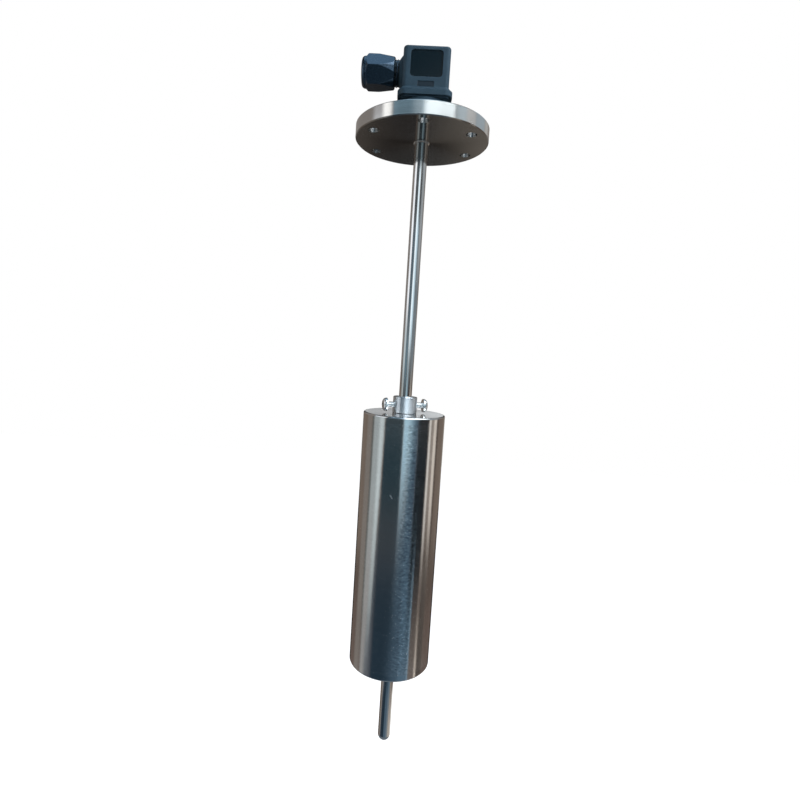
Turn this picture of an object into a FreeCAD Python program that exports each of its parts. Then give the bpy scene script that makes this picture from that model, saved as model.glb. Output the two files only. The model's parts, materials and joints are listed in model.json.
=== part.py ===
import FreeCAD, Part

import math
import os
import re

import Sketcher

# Driving sizes in millimetres, and degrees for a turn. Heights run up +Z from the underside of the flange.
SIZES = {
    # Round steel flange with its bolt circle and the weld round the stem
    "flange_diameter": 80,
    "flange_thickness": 8,
    "flange_chamfer": 0.5,
    "bolt_circle_diameter": 65,
    "bolt_hole_diameter": 6.6,
    "bolt_count": 6,
    "weld_leg": 0.9,
    "weld_gap": 0.05,
    # Stem tube and the rounded plug in its lower end
    "stem_diameter": 8,
    "stem_wall": 1,
    "stem_tail": 45.2,
    "spigot_length": 6,
    "spigot_gap": 0.05,
    # Stop collar on the stem, with two pan head screws
    "collar_diameter": 15,
    "collar_height": 10,
    "collar_drop": 154,
    "collar_chamfer": 0.3,
    "collar_foot_chamfer": 0.1,
    "collar_gap": 0.05,
    "collar_screw_level": 4.7,
    "collar_screw_diameter": 3.5,
    "collar_screw_gap": 0.05,
    "collar_screw_reach": 4.1,
    "collar_screw_turn": 15,
    "collar_screw_tip_chamfer": 0.5,
    "collar_head_diameter": 8.3,
    "collar_head_height": 2.7,
    "collar_head_round": 2.2,
    "collar_cross_length": 4.4,
    "collar_cross_width": 0.9,
    "collar_cross_depth": 1.6,
    # Float that slides on the stem
    "float_diameter": 51,
    "float_length": 160.9,
    "float_wall": 0.6,
    "float_cap_thickness": 1.2,
    "float_cap_skirt": 4,
    "float_edge_round": 1,
    "float_rest_gap": 0.2,
    "float_travel": 10,
    "guide_gap": 0.5,
    "guide_wall": 0.8,
    "guide_fit_gap": 0.02,
    # Ring magnet on the guide tube, between two push-on clips
    "magnet_diameter": 24,
    "magnet_height": 12,
    "magnet_gap": 0.1,
    "clip_thickness": 0.8,
    "clip_width": 3.5,
    "clip_sleeve_height": 2.5,
    # Retaining ring in its groove, the lower stop of the float
    "ring_thickness": 0.8,
    "ring_groove_depth": 0.2,
    "ring_gap": 0.05,
    "ring_width": 1.5,
    "ring_offset": 0.3,
    "ring_opening": 2,
    "ring_lug_diameter": 2.6,
    "ring_lug_hole_diameter": 1.1,
    # Reed switch on its board, inside the stem
    "board_thickness": 0.8,
    "board_length": 60,
    "board_edge_gap": 0.15,
    "reed_diameter": 2,
    "reed_length": 14,
    "reed_lift": 0.1,
    "reed_lead_diameter": 0.5,
    "reed_lead_length": 3,
    "wire_diameter": 1.2,
    "wire_spacing": 2.2,
    "wire_bend_radius": 3,
    # Base of the cable plug, screwed on the flange
    "foot_seal_thickness": 0.8,
    "foot_seal_inset": 0.5,
    "foot_inset": 0.8,
    "foot_chamfer": 0.4,
    "foot_top_gap": 0.6,
    "foot_roof": 6.9,
    "foot_web": 0.5,
    "plate_thickness": 2,
    "plate_gap": 0.3,
    "plate_corner": 3,
    "base_screw_diameter": 3,
    "base_screw_gap": 0.1,
    "base_screw_bite": 4.5,
    "base_screw_wall": 0.6,
    "base_head_diameter": 5.5,
    "base_head_height": 1.3,
    "slot_width": 0.8,
    "slot_depth": 0.7,
    # Contact blades and the threaded insert in the base
    "blade_width": 6.3,
    "blade_thickness": 0.8,
    "blade_reach": 8.6,
    "blade_tail_width": 3,
    "blade_tail_length": 4,
    "blade_gap": 0.02,
    "centre_nut_diameter": 5.5,
    "centre_nut_height": 5,
    "centre_nut_gap": 0.02,
    # Housing of the cable plug
    "plug_lift": 13.5,
    "plug_height": 28.3,
    "body_width": 27.4,
    "body_corner": 2.5,
    "top_edge_round": 1.5,
    "skirt_overhang": 2.2,
    "skirt_height": 3,
    "skirt_wall": 1.5,
    "housing_wall": 2,
    "top_wall": 5.5,
    "cavity_corner": 1.5,
    "gasket_thickness": 1,
    "panel_width": 18.6,
    "panel_height": 15,
    "panel_corner": 2,
    "panel_depth": 0.6,
    "panel_drop": 10.1,
    "plate_mark_width": 9.5,
    "plate_mark_height": 3.9,
    "plate_mark_depth": 0.3,
    "plate_mark_drop": 21.9,
    "plate_mark_corner": 0.3,
    # Terminal block inside the plug
    "insert_gap": 0.3,
    "insert_lift": 0.3,
    "contact_width": 7.4,
    "contact_depth": 3.6,
    "contact_lift": 0.6,
    "contact_gap": 0.1,
    "contact_edge_wall": 0.7,
    "contact_web": 0.5,
    "blade_slot_gap": 0.1,
    "blade_slot_spare": 0.8,
    "terminal_recess": 2,
    "terminal_screw_diameter": 2.5,
    "terminal_screw_length": 3.2,
    "terminal_head_diameter": 4,
    "terminal_head_height": 1.5,
    "terminal_gap": 0.1,
    # Centre screw through the top of the plug
    "centre_screw_diameter": 3,
    "centre_screw_gap": 0.2,
    "centre_screw_bite": 4,
    "centre_head_diameter": 5.6,
    "centre_head_height": 2.2,
    "centre_recess_diameter": 7,
    "centre_recess_depth": 3.3,
    "screw_washer_thickness": 0.6,
    # Cable gland on the side of the plug
    "gland_drop": 10.1,
    "boss_diameter": 19,
    "boss_rim": 0.4,
    "boss_length": 2.2,
    "neck_diameter": 14.2,
    "neck_length": 12.8,
    "neck_bore_diameter": 10.2,
    "seal_seat_depth": 3,
    "seal_diameter": 11.6,
    "seal_gap": 0.1,
    "cable_bore_diameter": 8,
    "gland_washer_thickness": 1,
    "nut_offset": 4.75,
    "nut_length": 19.85,
    "nut_across_flats": 17.3,
    "nut_cone_diameter": 17.6,
    "nut_cone_length": 9.5,
    "nut_hex_length": 17.05,
    "nut_hex_chamfer": 1.2,
    "nut_lead_chamfer": 0.6,
    "nut_ring_diameter": 17.2,
    "nut_ring_round": 2.2,
    "nut_thread_gap": 0.1,
    "nut_thread_length": 12.6,
    "nut_end_wall": 2.2,
    "nut_hole_diameter": 10,
}

# Levels, radii and places that follow from the driving sizes.
DERIVED = {
    "flange_radius": "flange_diameter / 2",
    "flange_bore": "stem_radius + weld_gap",
    "stem_radius": "stem_diameter / 2",
    "stem_bore": "stem_radius - stem_wall",
    "stem_nose": "ring_top - stem_tail",
    "tube_end": "stem_nose + stem_radius",
    "collar_bottom": "-(collar_drop + collar_height)",
    "collar_screw_axis": "collar_bottom + collar_screw_level",
    "collar_tip": "stem_radius + collar_gap",
    "float_radius": "float_diameter / 2",
    "float_top": "collar_bottom - float_rest_gap",
    "float_middle": "float_top - float_length / 2",
    "float_bottom": "float_top - float_length",
    "guide_bore": "stem_radius + guide_gap",
    "guide_radius": "guide_bore + guide_wall",
    "magnet_top": "float_middle + magnet_height / 2",
    "ring_top": "float_bottom - float_travel",
    "ring_bore": "stem_radius - ring_groove_depth",
    "board_top": "float_middle + board_length / 2",
    "board_width": "2 * sqrt((stem_bore - board_edge_gap)^2 - (board_thickness / 2)^2)",
    "reed_offset": "board_thickness / 2 + reed_lift + reed_diameter / 2",
    "flange_top": "flange_thickness",
    "foot_bottom": "flange_top + foot_seal_thickness",
    "skirt_bottom": "flange_top + plug_lift",
    "foot_top": "skirt_bottom - foot_top_gap",
    "foot_radius": "skirt_width / 2 - foot_inset",
    "foot_cavity_radius": "base_screw_place * sqrt(2) - base_screw_hole - foot_web",
    "foot_cavity_top": "plate_top - foot_roof",
    "plate_top": "foot_top + plate_thickness",
    "plate_width": "pocket_width - 2 * plate_gap",
    "gasket_top": "plate_top + gasket_thickness",
    "skirt_width": "body_width + 2 * skirt_overhang",
    "skirt_corner": "body_corner + skirt_overhang",
    "pocket_width": "skirt_width - 2 * skirt_wall",
    "pocket_corner": "plate_corner + plate_gap",
    "cavity_width": "body_width - 2 * housing_wall",
    "cavity_top": "plug_top - top_wall",
    "plug_top": "skirt_bottom + plug_height",
    "base_screw_hole": "base_screw_diameter / 2 + base_screw_gap",
    "base_screw_place": "(foot_radius - foot_seal_inset - base_screw_wall - base_screw_hole) / sqrt(2)",
    "base_screw_tip": "flange_top - base_screw_bite",
    "insert_width": "cavity_width - 2 * insert_gap",
    "insert_bottom": "gasket_top + insert_lift",
    "insert_top": "contact_top + terminal_recess",
    "blade_place": "insert_width / 2 - contact_edge_wall - contact_depth / 2",
    "blade_top": "plate_top + blade_reach",
    "blade_tail_end": "foot_cavity_top - blade_tail_length",
    "blade_slot_top": "blade_top + blade_slot_spare",
    "contact_bottom": "insert_bottom + contact_lift",
    "contact_top": "blade_slot_top + contact_web + terminal_screw_length",
    "wire_level": "foot_cavity_top - blade_tail_length / 2",
    "recess_floor": "plug_top - centre_recess_depth",
    "centre_head_seat": "recess_floor + screw_washer_thickness",
    "centre_screw_tip": "plate_top - centre_screw_bite",
    "gland_level": "plug_top - gland_drop",
    "neck_end": "boss_length + neck_length",
    "seal_start": "neck_end - seal_seat_depth",
    "washer_start": "nut_offset + nut_length - nut_end_wall - gland_washer_thickness",
    "seal_length": "washer_start - seal_start",
    "seal_seat_radius": "seal_diameter / 2 + seal_gap",
    "nut_corner_radius": "nut_across_flats / sqrt(3)",
    "nut_bore": "neck_diameter / 2 + nut_thread_gap",
}

X_AXIS = FreeCAD.Vector(1, 0, 0)
Y_AXIS = FreeCAD.Vector(0, 1, 0)
Z_AXIS = FreeCAD.Vector(0, 0, 1)
UPRIGHT = FreeCAD.Rotation()
ALONG_X = FreeCAD.Rotation(Y_AXIS, 90)
AGAINST_X = FreeCAD.Rotation(Y_AXIS, -90)
ALONG_Y = FreeCAD.Rotation(X_AXIS, -90)
QUARTERS = (0, 90, 180, 270)
DIAGONALS = (45, 135, 225, 315)
SAME = 0.001

doc = FreeCAD.newDocument("LevelSensor")
sheet = doc.addObject("Spreadsheet::Sheet", "Sizes")
for row, (alias, size) in enumerate(SIZES.items(), start=1):
    sheet.set(f"A{row}", alias)
    sheet.set(f"B{row}", str(size))
    sheet.setAlias(f"B{row}", alias)
doc.recompute()


def bind(text):
    """Turn a formula of size names into an expression on the size sheet."""

    def swap(match):
        name = match.group(0)
        if name in DERIVED:
            return f"({bind(DERIVED[name])})"
        if name in SIZES:
            return f"Sizes.{name}"
        return name

    return re.sub(r"[a-z_][a-z0-9_]*", swap, text)


def number(text):
    """Present value of a formula of size names."""
    return float(sheet.evalExpression(bind(text)))


def bind_all(obj, sizes):
    """Bind each named property of an object to its formula."""
    for name, text in sizes.items():
        obj.setExpression(name, bind(text))


def put(obj, place, turn=UPRIGHT):
    """Turn an object and bind its place to three formulas."""
    obj.Placement = FreeCAD.Placement(FreeCAD.Vector(), turn)
    for axis, text in zip("xyz", place):
        obj.setExpression(f"Placement.Base.{axis}", bind(text))


def new_body(label, angle=0):
    """Empty body, turned about the stem's axis."""
    body = doc.addObject("PartDesign::Body", label)
    body.Label = label
    body.Placement = FreeCAD.Placement(FreeCAD.Vector(), FreeCAD.Rotation(Z_AXIS, angle))
    return body


def origin_feature(body, role):
    """Origin plane or axis of a body."""
    return next(item for item in body.Origin.OriginFeatures if item.Role == role)


def new_sketch(body, role, lift="0"):
    """Sketch on an origin plane of its body, lifted along the plane's normal."""
    sketch = body.newObject("Sketcher::SketchObject", "Outline")
    sketch.AttachmentSupport = (origin_feature(body, role), [""])
    sketch.MapMode = "FlatFace"
    sketch.setExpression("AttachmentOffset.Base.z", bind(lift))
    return sketch


def pin(sketch, kind, geometry, point, text):
    """Hold one coordinate of a sketch point at a formula."""
    index = sketch.addConstraint(Sketcher.Constraint(kind, geometry, point, number(text)))
    sketch.setExpression(f"Constraints[{index}]", bind(text))


def draw_outline(sketch, corners):
    """Closed outline of straight lines through corners given as formulas."""
    first = sketch.GeometryCount
    points = [FreeCAD.Vector(number(x), number(y), 0) for x, y in corners]
    for start, end in zip(points, points[1:] + points[:1]):
        sketch.addGeometry(Part.LineSegment(start, end))
    for index, (x, y) in enumerate(corners):
        following = (index + 1) % len(corners)
        sketch.addConstraint(Sketcher.Constraint("Coincident", first + index, 2, first + following, 1))
        pin(sketch, "DistanceX", first + index, 1, x)
        pin(sketch, "DistanceY", first + index, 1, y)


def draw_circle(sketch, x, y, radius):
    """Circle with its centre and radius given as formulas."""
    centre = FreeCAD.Vector(number(x), number(y), 0)
    index = sketch.addGeometry(Part.Circle(centre, Z_AXIS, number(radius)))
    pin(sketch, "DistanceX", index, 3, x)
    pin(sketch, "DistanceY", index, 3, y)
    radius_index = sketch.addConstraint(Sketcher.Constraint("Radius", index, number(radius)))
    sketch.setExpression(f"Constraints[{radius_index}]", bind(radius))


def draw_rounded_rectangle(sketch, width, height, radius, y="0"):
    """Rectangle with rounded corners, centred on x = 0 and on the given y."""
    half_x, half_y = f"({width}) / 2", f"({height}) / 2"
    in_x, in_y = f"({half_x} - ({radius}))", f"({half_y} - ({radius}))"
    quarter = ((1, -1), (1, 1), (-1, 1), (-1, -1))
    first = sketch.GeometryCount
    for turn, (sx, sy) in enumerate(quarter):
        middle = FreeCAD.Vector(sx * number(in_x), sy * number(in_y) + number(y), 0)
        circle = Part.Circle(middle, Z_AXIS, number(radius))
        start = (turn - 1) * 90
        sketch.addGeometry(Part.ArcOfCircle(circle, math.radians(start), math.radians(start + 90)))
    for turn, (sx, sy) in enumerate(quarter):
        arc = first + turn
        following = first + (turn + 1) % len(quarter)
        start = sketch.getPoint(arc, 2)
        end = sketch.getPoint(following, 1)
        side = sketch.addGeometry(Part.LineSegment(start, end))
        sketch.addConstraint(Sketcher.Constraint("Coincident", arc, 2, side, 1))
        sketch.addConstraint(Sketcher.Constraint("Coincident", side, 2, following, 1))
        on_top = (f"{sx} * {in_x}", f"{sy} * {half_y} + {y}")
        on_side = (f"{sx} * {half_x}", f"{sy} * {in_y} + {y}")
        ends = (on_side, on_top) if sx * sy > 0 else (on_top, on_side)
        for point, (px, py) in zip((1, 2), ends):
            pin(sketch, "DistanceX", arc, point, px)
            pin(sketch, "DistanceY", arc, point, py)
        pin(sketch, "DistanceX", arc, 3, f"{sx} * {in_x}")


def add(body, kind, **sizes):
    """Add a feature to a body and bind its sizes."""
    feature = body.newObject(f"PartDesign::{kind}", kind)
    bind_all(feature, sizes)
    return feature


def finish(body, feature):
    """Make a feature the body's last one and work it out."""
    body.Tip = feature
    doc.recompute()
    return feature


def revolve(body, corners):
    """Turned solid: an outline of radius and height, turned about the upright axis."""
    sketch = new_sketch(body, "XZ_Plane")
    draw_outline(sketch, corners)
    feature = add(body, "Revolution")
    feature.Profile = sketch
    feature.ReferenceAxis = (sketch, ["V_Axis"])
    feature.Angle = 360
    return finish(body, feature)


def pad(body, sketch, length):
    """Raise a sketch along its normal."""
    feature = add(body, "Pad", Length=length)
    feature.Profile = sketch
    return finish(body, feature)


def pocket(body, sketch, length, forwards=False):
    """Cut a sketch against its normal, or along it."""
    before = body.Shape.Volume
    feature = add(body, "Pocket", Length=length)
    feature.Profile = sketch
    feature.Reversed = forwards
    finish(body, feature)
    if body.Shape.Volume > before - SAME:
        raise ValueError(f"a pocket of {body.Label} cuts nothing")
    return feature


def primitive(body, kind, place, turn=UPRIGHT, **sizes):
    """Box, cylinder or cone that is added to a body or cut from it."""
    feature = add(body, kind, **sizes)
    put(feature, place, turn)
    return finish(body, feature)


def repeat(body, features, count):
    """Repeat features evenly round the upright axis."""
    feature = add(body, "PolarPattern", Occurrences=count)
    feature.Originals = features
    feature.Axis = (origin_feature(body, "Z_Axis"), [""])
    feature.Angle = 360
    return finish(body, feature)


def edge_names(body, wanted):
    """Names of the edges of a body that pass a test."""
    edges = enumerate(body.Tip.Shape.Edges, start=1)
    return [f"Edge{index}" for index, edge in edges if wanted(edge)]


def rings_at(body, radius, height):
    """Names of the round edges of a given radius at a given height."""

    def wanted(edge):
        curve = edge.Curve
        if not isinstance(curve, Part.Circle):
            return False
        off = abs(curve.Radius - number(radius)) + abs(edge.BoundBox.ZMin - number(height))
        return off < SAME and edge.BoundBox.ZLength < SAME

    return edge_names(body, wanted)


def edges_at(body, height):
    """Names of the edges that lie flat at a given height."""

    def wanted(edge):
        return abs(edge.BoundBox.ZMin - number(height)) + edge.BoundBox.ZLength < SAME

    return edge_names(body, wanted)


def dress(body, kind, edges, **sizes):
    """Fillet or chamfer on named edges of a body."""
    base = body.Tip
    feature = add(body, kind, **sizes)
    feature.Base = (base, edges)
    return finish(body, feature)


def turned(label, corners):
    """Body that is one turned solid."""
    body = new_body(label)
    revolve(body, corners)
    return body


def tube(label, bore, radius, low, high):
    """Plain round tube between two heights."""
    return turned(label, [(bore, low), (radius, low), (radius, high), (bore, high)])


def group(label, members):
    """Several equal solids kept as one node."""
    compound = doc.addObject("Part::Compound", label)
    compound.Label = label
    compound.Links = members
    doc.recompute()
    return compound


def boolean(kind, label, base, tool):
    """Cut one object by another, or join the two."""
    result = doc.addObject(f"Part::{kind}", label)
    result.Label = label
    result.Base = base
    result.Tool = tool
    doc.recompute()
    return result


def solid(kind, place, turn=UPRIGHT, **sizes):
    """Loose box, cylinder or sphere with bound sizes."""
    obj = doc.addObject(f"Part::{kind}", kind)
    bind_all(obj, sizes)
    put(obj, place, turn)
    return obj


def flange():
    """Round flange with a weld bead under it, bolt holes through it and tapped holes for the base."""
    body = turned("flange", [
        ("flange_bore", "-weld_leg"),
        ("flange_bore + weld_leg", "0"),
        ("flange_radius - flange_chamfer", "0"),
        ("flange_radius", "flange_chamfer"),
        ("flange_radius", "flange_thickness - flange_chamfer"),
        ("flange_radius - flange_chamfer", "flange_thickness"),
        ("flange_bore", "flange_thickness"),
    ])
    hole_place = ("0", "bolt_circle_diameter / 2", "0")
    hole = primitive(body, "SubtractiveCylinder", hole_place,
                     Radius="bolt_hole_diameter / 2", Height="flange_thickness")
    repeat(body, [hole], "bolt_count")
    tapped_place = ("base_screw_place", "base_screw_place", "base_screw_tip")
    tapped = primitive(body, "SubtractiveCylinder", tapped_place,
                       Radius="base_screw_hole", Height="base_screw_bite")
    repeat(body, [tapped], str(len(QUARTERS)))
    return body


def stem_tube():
    """Stem from the top of the flange to its nose, with the groove of the retaining ring."""
    groove_top = "ring_top + ring_gap"
    groove_end = "ring_top - ring_thickness - ring_gap"
    return turned("stem_tube", [
        ("stem_bore", "tube_end"),
        ("stem_radius", "tube_end"),
        ("stem_radius", groove_end),
        ("ring_bore", groove_end),
        ("ring_bore", groove_top),
        ("stem_radius", groove_top),
        ("stem_radius", "flange_top"),
        ("stem_bore", "flange_top"),
    ])


def stem_end_plug():
    """Half ball that closes the stem, on a spigot inside the tube."""
    ball = solid("Sphere", ("0", "0", "tube_end"), Radius="stem_radius")
    ball.Angle1 = -90
    ball.Angle2 = 0
    spigot = solid("Cylinder", ("0", "0", "tube_end"),
                   Radius="stem_bore - spigot_gap", Height="spigot_length")
    return boolean("Fuse", "stem_end_plug", ball, spigot)


def retaining_ring():
    """Open ring, wider opposite its opening, with two pierced lugs."""
    thick = "ring_thickness"
    low = "ring_top - ring_thickness"
    lug_x = "ring_opening / 2 + ring_lug_diameter / 2"
    lug_y = "-(ring_bore + ring_lug_diameter / 2)"
    whole = solid("Cylinder", ("0", "ring_offset", low), Radius="ring_bore + ring_width", Height=thick)
    for side in ("", "-"):
        lug = solid("Cylinder", (f"{side}({lug_x})", lug_y, low),
                    Radius="ring_lug_diameter / 2", Height=thick)
        whole = boolean("Fuse", "ring_with_lug", whole, lug)
    eye = solid("Cylinder", ("0", "0", low), Radius="ring_bore + ring_gap", Height=thick)
    whole = boolean("Cut", "ring_with_eye", whole, eye)
    for side in ("", "-"):
        hole = solid("Cylinder", (f"{side}({lug_x})", lug_y, low),
                     Radius="ring_lug_hole_diameter / 2", Height=thick)
        whole = boolean("Cut", "ring_with_hole", whole, hole)
    opening = solid("Box", ("-ring_opening / 2", "-2 * stem_diameter", low),
                    Length="ring_opening", Width="2 * stem_diameter", Height=thick)
    return boolean("Cut", "retaining_ring", whole, opening)


def stop_collar():
    """Clamp collar with a hole through both sides for its screws."""
    bore = "stem_radius + collar_gap"
    edge = "collar_diameter / 2"
    body = turned("stop_collar", [
        (bore, "collar_bottom"),
        (f"{edge} - collar_foot_chamfer", "collar_bottom"),
        (edge, "collar_bottom + collar_foot_chamfer"),
        (edge, "-collar_drop - collar_chamfer"),
        (f"{edge} - collar_chamfer", "-collar_drop"),
        (bore, "-collar_drop"),
    ])
    primitive(body, "SubtractiveCylinder", ("-collar_diameter / 2", "0", "collar_screw_axis"), ALONG_X,
              Radius="collar_screw_diameter / 2 + collar_screw_gap", Height="collar_diameter")
    put(body, ("0", "0", "0"), screw_turn())
    return body


def screw_turn():
    """Turn of the collar about the stem, which brings its left screw forwards."""
    return FreeCAD.Rotation(Z_AXIS, number("collar_screw_turn"))


def cross_recess(body, length, width, depth, top):
    """Cross recess in the top of a screw head."""
    for long_x, long_y in ((length, width), (width, length)):
        corner = (f"-{long_x} / 2", f"-{long_y} / 2", f"{top} - {depth}")
        primitive(body, "SubtractiveBox", corner, Length=long_x, Width=long_y, Height=depth)


def collar_screws():
    """Two pan head screws that bear on the stem from both sides, heads clear of the collar."""
    shank = "(collar_diameter / 2 + collar_screw_reach - collar_tip)"
    top = f"({shank} + collar_head_height)"
    radius = "collar_screw_diameter / 2"
    head = "collar_head_diameter / 2"
    members = []
    for side, turn in (("", ALONG_X), ("-", AGAINST_X)):
        body = turned("collar_screw", [
            ("0", "0"),
            (f"{radius} - collar_screw_tip_chamfer", "0"),
            (radius, "collar_screw_tip_chamfer"),
            (radius, shank),
            (head, shank),
            (head, top),
            ("0", top),
        ])
        dress(body, "Fillet", rings_at(body, head, top), Radius="collar_head_round")
        cross_recess(body, "collar_cross_length", "collar_cross_width", "collar_cross_depth", top)
        tip = [f"{side}collar_tip * {part}(collar_screw_turn)" for part in ("cos", "sin")]
        put(body, (*tip, "collar_screw_axis"), screw_turn() * turn)
        members.append(body)
    return group("collar_screws", members)


def float_shell():
    """Thin tube of the float, between the skirts of its two caps."""
    return tube("float_shell", "float_radius - float_wall", "float_radius",
                "float_bottom + float_cap_skirt", "float_top - float_cap_skirt")


def float_cap(label, face, inwards):
    """Pressed end cap: a disc with a rounded edge and a short skirt that meets the shell."""
    hole = "guide_radius + guide_fit_gap"
    skirt_end = f"{face} {inwards} float_cap_skirt"
    underside = f"{face} {inwards} float_cap_thickness"
    body = turned(label, [
        (hole, face),
        ("float_radius", face),
        ("float_radius", skirt_end),
        ("float_radius - float_wall", skirt_end),
        ("float_radius - float_wall", underside),
        (hole, underside),
    ])
    dress(body, "Fillet", rings_at(body, "float_radius", face), Radius="float_edge_round")
    return body


def magnet_clips():
    """Two push-on rings, each with a short sleeve that grips the guide tube."""
    bore = "guide_radius + guide_fit_gap"
    sleeve = "guide_radius + clip_thickness"
    members = []
    for face, away in (("magnet_top", "+"), ("magnet_top - magnet_height", "-")):
        members.append(turned("magnet_clip", [
            (bore, face),
            ("guide_radius + clip_width", face),
            ("guide_radius + clip_width", f"{face} {away} clip_thickness"),
            (sleeve, f"{face} {away} clip_thickness"),
            (sleeve, f"{face} {away} clip_sleeve_height"),
            (bore, f"{face} {away} clip_sleeve_height"),
        ]))
    return group("magnet_clips", members)


def reed_board():
    """Narrow board that spans the bore of the stem at the level of the magnet."""
    board = solid("Box", ("-board_width / 2", "-board_thickness / 2", "board_top - board_length"),
                  Length="board_width", Width="board_thickness", Height="board_length")
    board.Label = "reed_board"
    doc.recompute()
    return board


def reed_switch():
    """Glass capsule with a bent lead at each end that stands on the board."""
    whole_length = "(reed_length + 2 * reed_lead_length)"
    lead = solid("Cylinder", ("0", "reed_offset", f"float_middle - {whole_length} / 2"),
                 Radius="reed_lead_diameter / 2", Height=whole_length)
    capsule = solid("Cylinder", ("0", "reed_offset", "float_middle - reed_length / 2"),
                    Radius="reed_diameter / 2", Height="reed_length")
    whole = boolean("Fuse", "reed_with_lead", capsule, lead)
    for side in ("+", "-"):
        end = f"float_middle {side} ({whole_length} - reed_lead_diameter) / 2"
        leg = solid("Cylinder", ("0", "board_thickness / 2", end), ALONG_Y,
                    Radius="reed_lead_diameter / 2", Height="reed_offset - board_thickness / 2")
        whole = boolean("Fuse", "reed_with_leg", whole, leg)
    whole.Label = "reed_switch"
    return whole


def signal_wires():
    """Two wires up the stem that bend outwards to the tails of two blades."""
    line_x = "wire_spacing / 2"
    bend = "wire_bend_radius"
    end_x = "blade_place - blade_thickness / 2"
    corner = FreeCAD.Vector(number(f"{line_x} + {bend}"), number(f"wire_level - {bend}"), 0)
    members = []
    for angle in (0, 180):
        body = new_body("signal_wire", angle)
        path = new_sketch(body, "XZ_Plane")
        bottom = FreeCAD.Vector(number(line_x), number("board_top"), 0)
        bend_start = FreeCAD.Vector(number(line_x), corner.y, 0)
        bend_end = FreeCAD.Vector(corner.x, number("wire_level"), 0)
        outer = FreeCAD.Vector(number(end_x), number("wire_level"), 0)
        path.addGeometry(Part.LineSegment(bottom, bend_start))
        circle = Part.Circle(corner, Z_AXIS, number(bend))
        path.addGeometry(Part.ArcOfCircle(circle, circle.parameter(bend_end), circle.parameter(bend_start)))
        path.addGeometry(Part.LineSegment(bend_end, outer))
        path.addConstraint(Sketcher.Constraint("Coincident", 0, 2, 1, 2))
        path.addConstraint(Sketcher.Constraint("Coincident", 1, 1, 2, 1))
        places = (
            (0, 1, line_x, "board_top"),
            (0, 2, line_x, f"wire_level - {bend}"),
            (2, 1, f"{line_x} + {bend}", "wire_level"),
            (2, 2, end_x, "wire_level"),
        )
        for geometry, point, x, y in places:
            pin(path, "DistanceX", geometry, point, x)
            pin(path, "DistanceY", geometry, point, y)
        pin(path, "DistanceX", 1, 3, f"{line_x} + {bend}")
        section = new_sketch(body, "XY_Plane", "board_top")
        draw_circle(section, line_x, "0", "wire_diameter / 2")
        doc.recompute()
        pipe = add(body, "AdditivePipe")
        pipe.Profile = section
        pipe.Spine = (path, ["Edge1", "Edge2", "Edge3"])
        finish(body, pipe)
        members.append(body)
    return group("signal_wires", members)


def foot_seal():
    """Flat ring between the base and the flange, pierced for the base screws."""
    body = tube("foot_seal", "foot_cavity_radius", "foot_radius - foot_seal_inset",
                "flange_top", "foot_bottom")
    hole = primitive(body, "SubtractiveCylinder", ("base_screw_place", "base_screw_place", "flange_top"),
                     Radius="base_screw_hole", Height="foot_seal_thickness")
    repeat(body, [hole], str(len(QUARTERS)))
    return body


def plug_base():
    """Round hollow foot under a square plate, with slots for blades and countersunk screw holes."""
    body = turned("plug_base", [
        ("foot_cavity_radius", "foot_bottom"),
        ("foot_radius", "foot_bottom"),
        ("foot_radius", "foot_top - foot_chamfer"),
        ("foot_radius - foot_chamfer", "foot_top"),
        ("0", "foot_top"),
        ("0", "foot_cavity_top"),
        ("foot_cavity_radius", "foot_cavity_top"),
    ])
    plate = new_sketch(body, "XY_Plane", "foot_top")
    draw_rounded_rectangle(plate, "plate_width", "plate_width", "plate_corner")
    pad(body, plate, "plate_thickness")
    blade_x = "blade_place - blade_thickness / 2 - blade_gap"
    blade_y = "-blade_width / 2 - blade_gap"
    slot = primitive(body, "SubtractiveBox", (blade_x, blade_y, "foot_cavity_top"),
                     Length="blade_thickness + 2 * blade_gap", Width="blade_width + 2 * blade_gap",
                     Height="foot_roof")
    repeat(body, [slot], str(len(QUARTERS)))
    hole = primitive(body, "SubtractiveCylinder", ("base_screw_place", "base_screw_place", "foot_bottom"),
                     Radius="base_screw_hole", Height="plate_top - foot_bottom")
    sink_place = ("base_screw_place", "base_screw_place", "plate_top - base_head_height")
    sink = primitive(body, "SubtractiveCone", sink_place, Radius1="base_screw_hole",
                     Radius2="base_head_diameter / 2 + base_screw_gap", Height="base_head_height")
    repeat(body, [hole, sink], str(len(QUARTERS)))
    primitive(body, "SubtractiveCylinder", ("0", "0", "plate_top - centre_nut_height"),
              Radius="centre_nut_diameter / 2 + centre_nut_gap", Height="centre_nut_height")
    return body


def base_screws():
    """Four countersunk screws with a slot, down through the base into the flange."""
    members = []
    for angle in DIAGONALS:
        body = turned("base_screw", [
            ("0", "base_screw_tip"),
            ("base_screw_diameter / 2", "base_screw_tip"),
            ("base_screw_diameter / 2", "plate_top - base_head_height"),
            ("base_head_diameter / 2", "plate_top"),
            ("0", "plate_top"),
        ])
        primitive(body, "SubtractiveBox",
                  ("-base_head_diameter / 2", "-slot_width / 2", "plate_top - slot_depth"),
                  Length="base_head_diameter", Width="slot_width", Height="slot_depth")
        side_x = "" if angle in (45, 315) else "-"
        side_y = "" if angle in (45, 135) else "-"
        put(body, (f"{side_x}base_screw_place", f"{side_y}base_screw_place", "0"))
        members.append(body)
    return group("base_screws", members)


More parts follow.
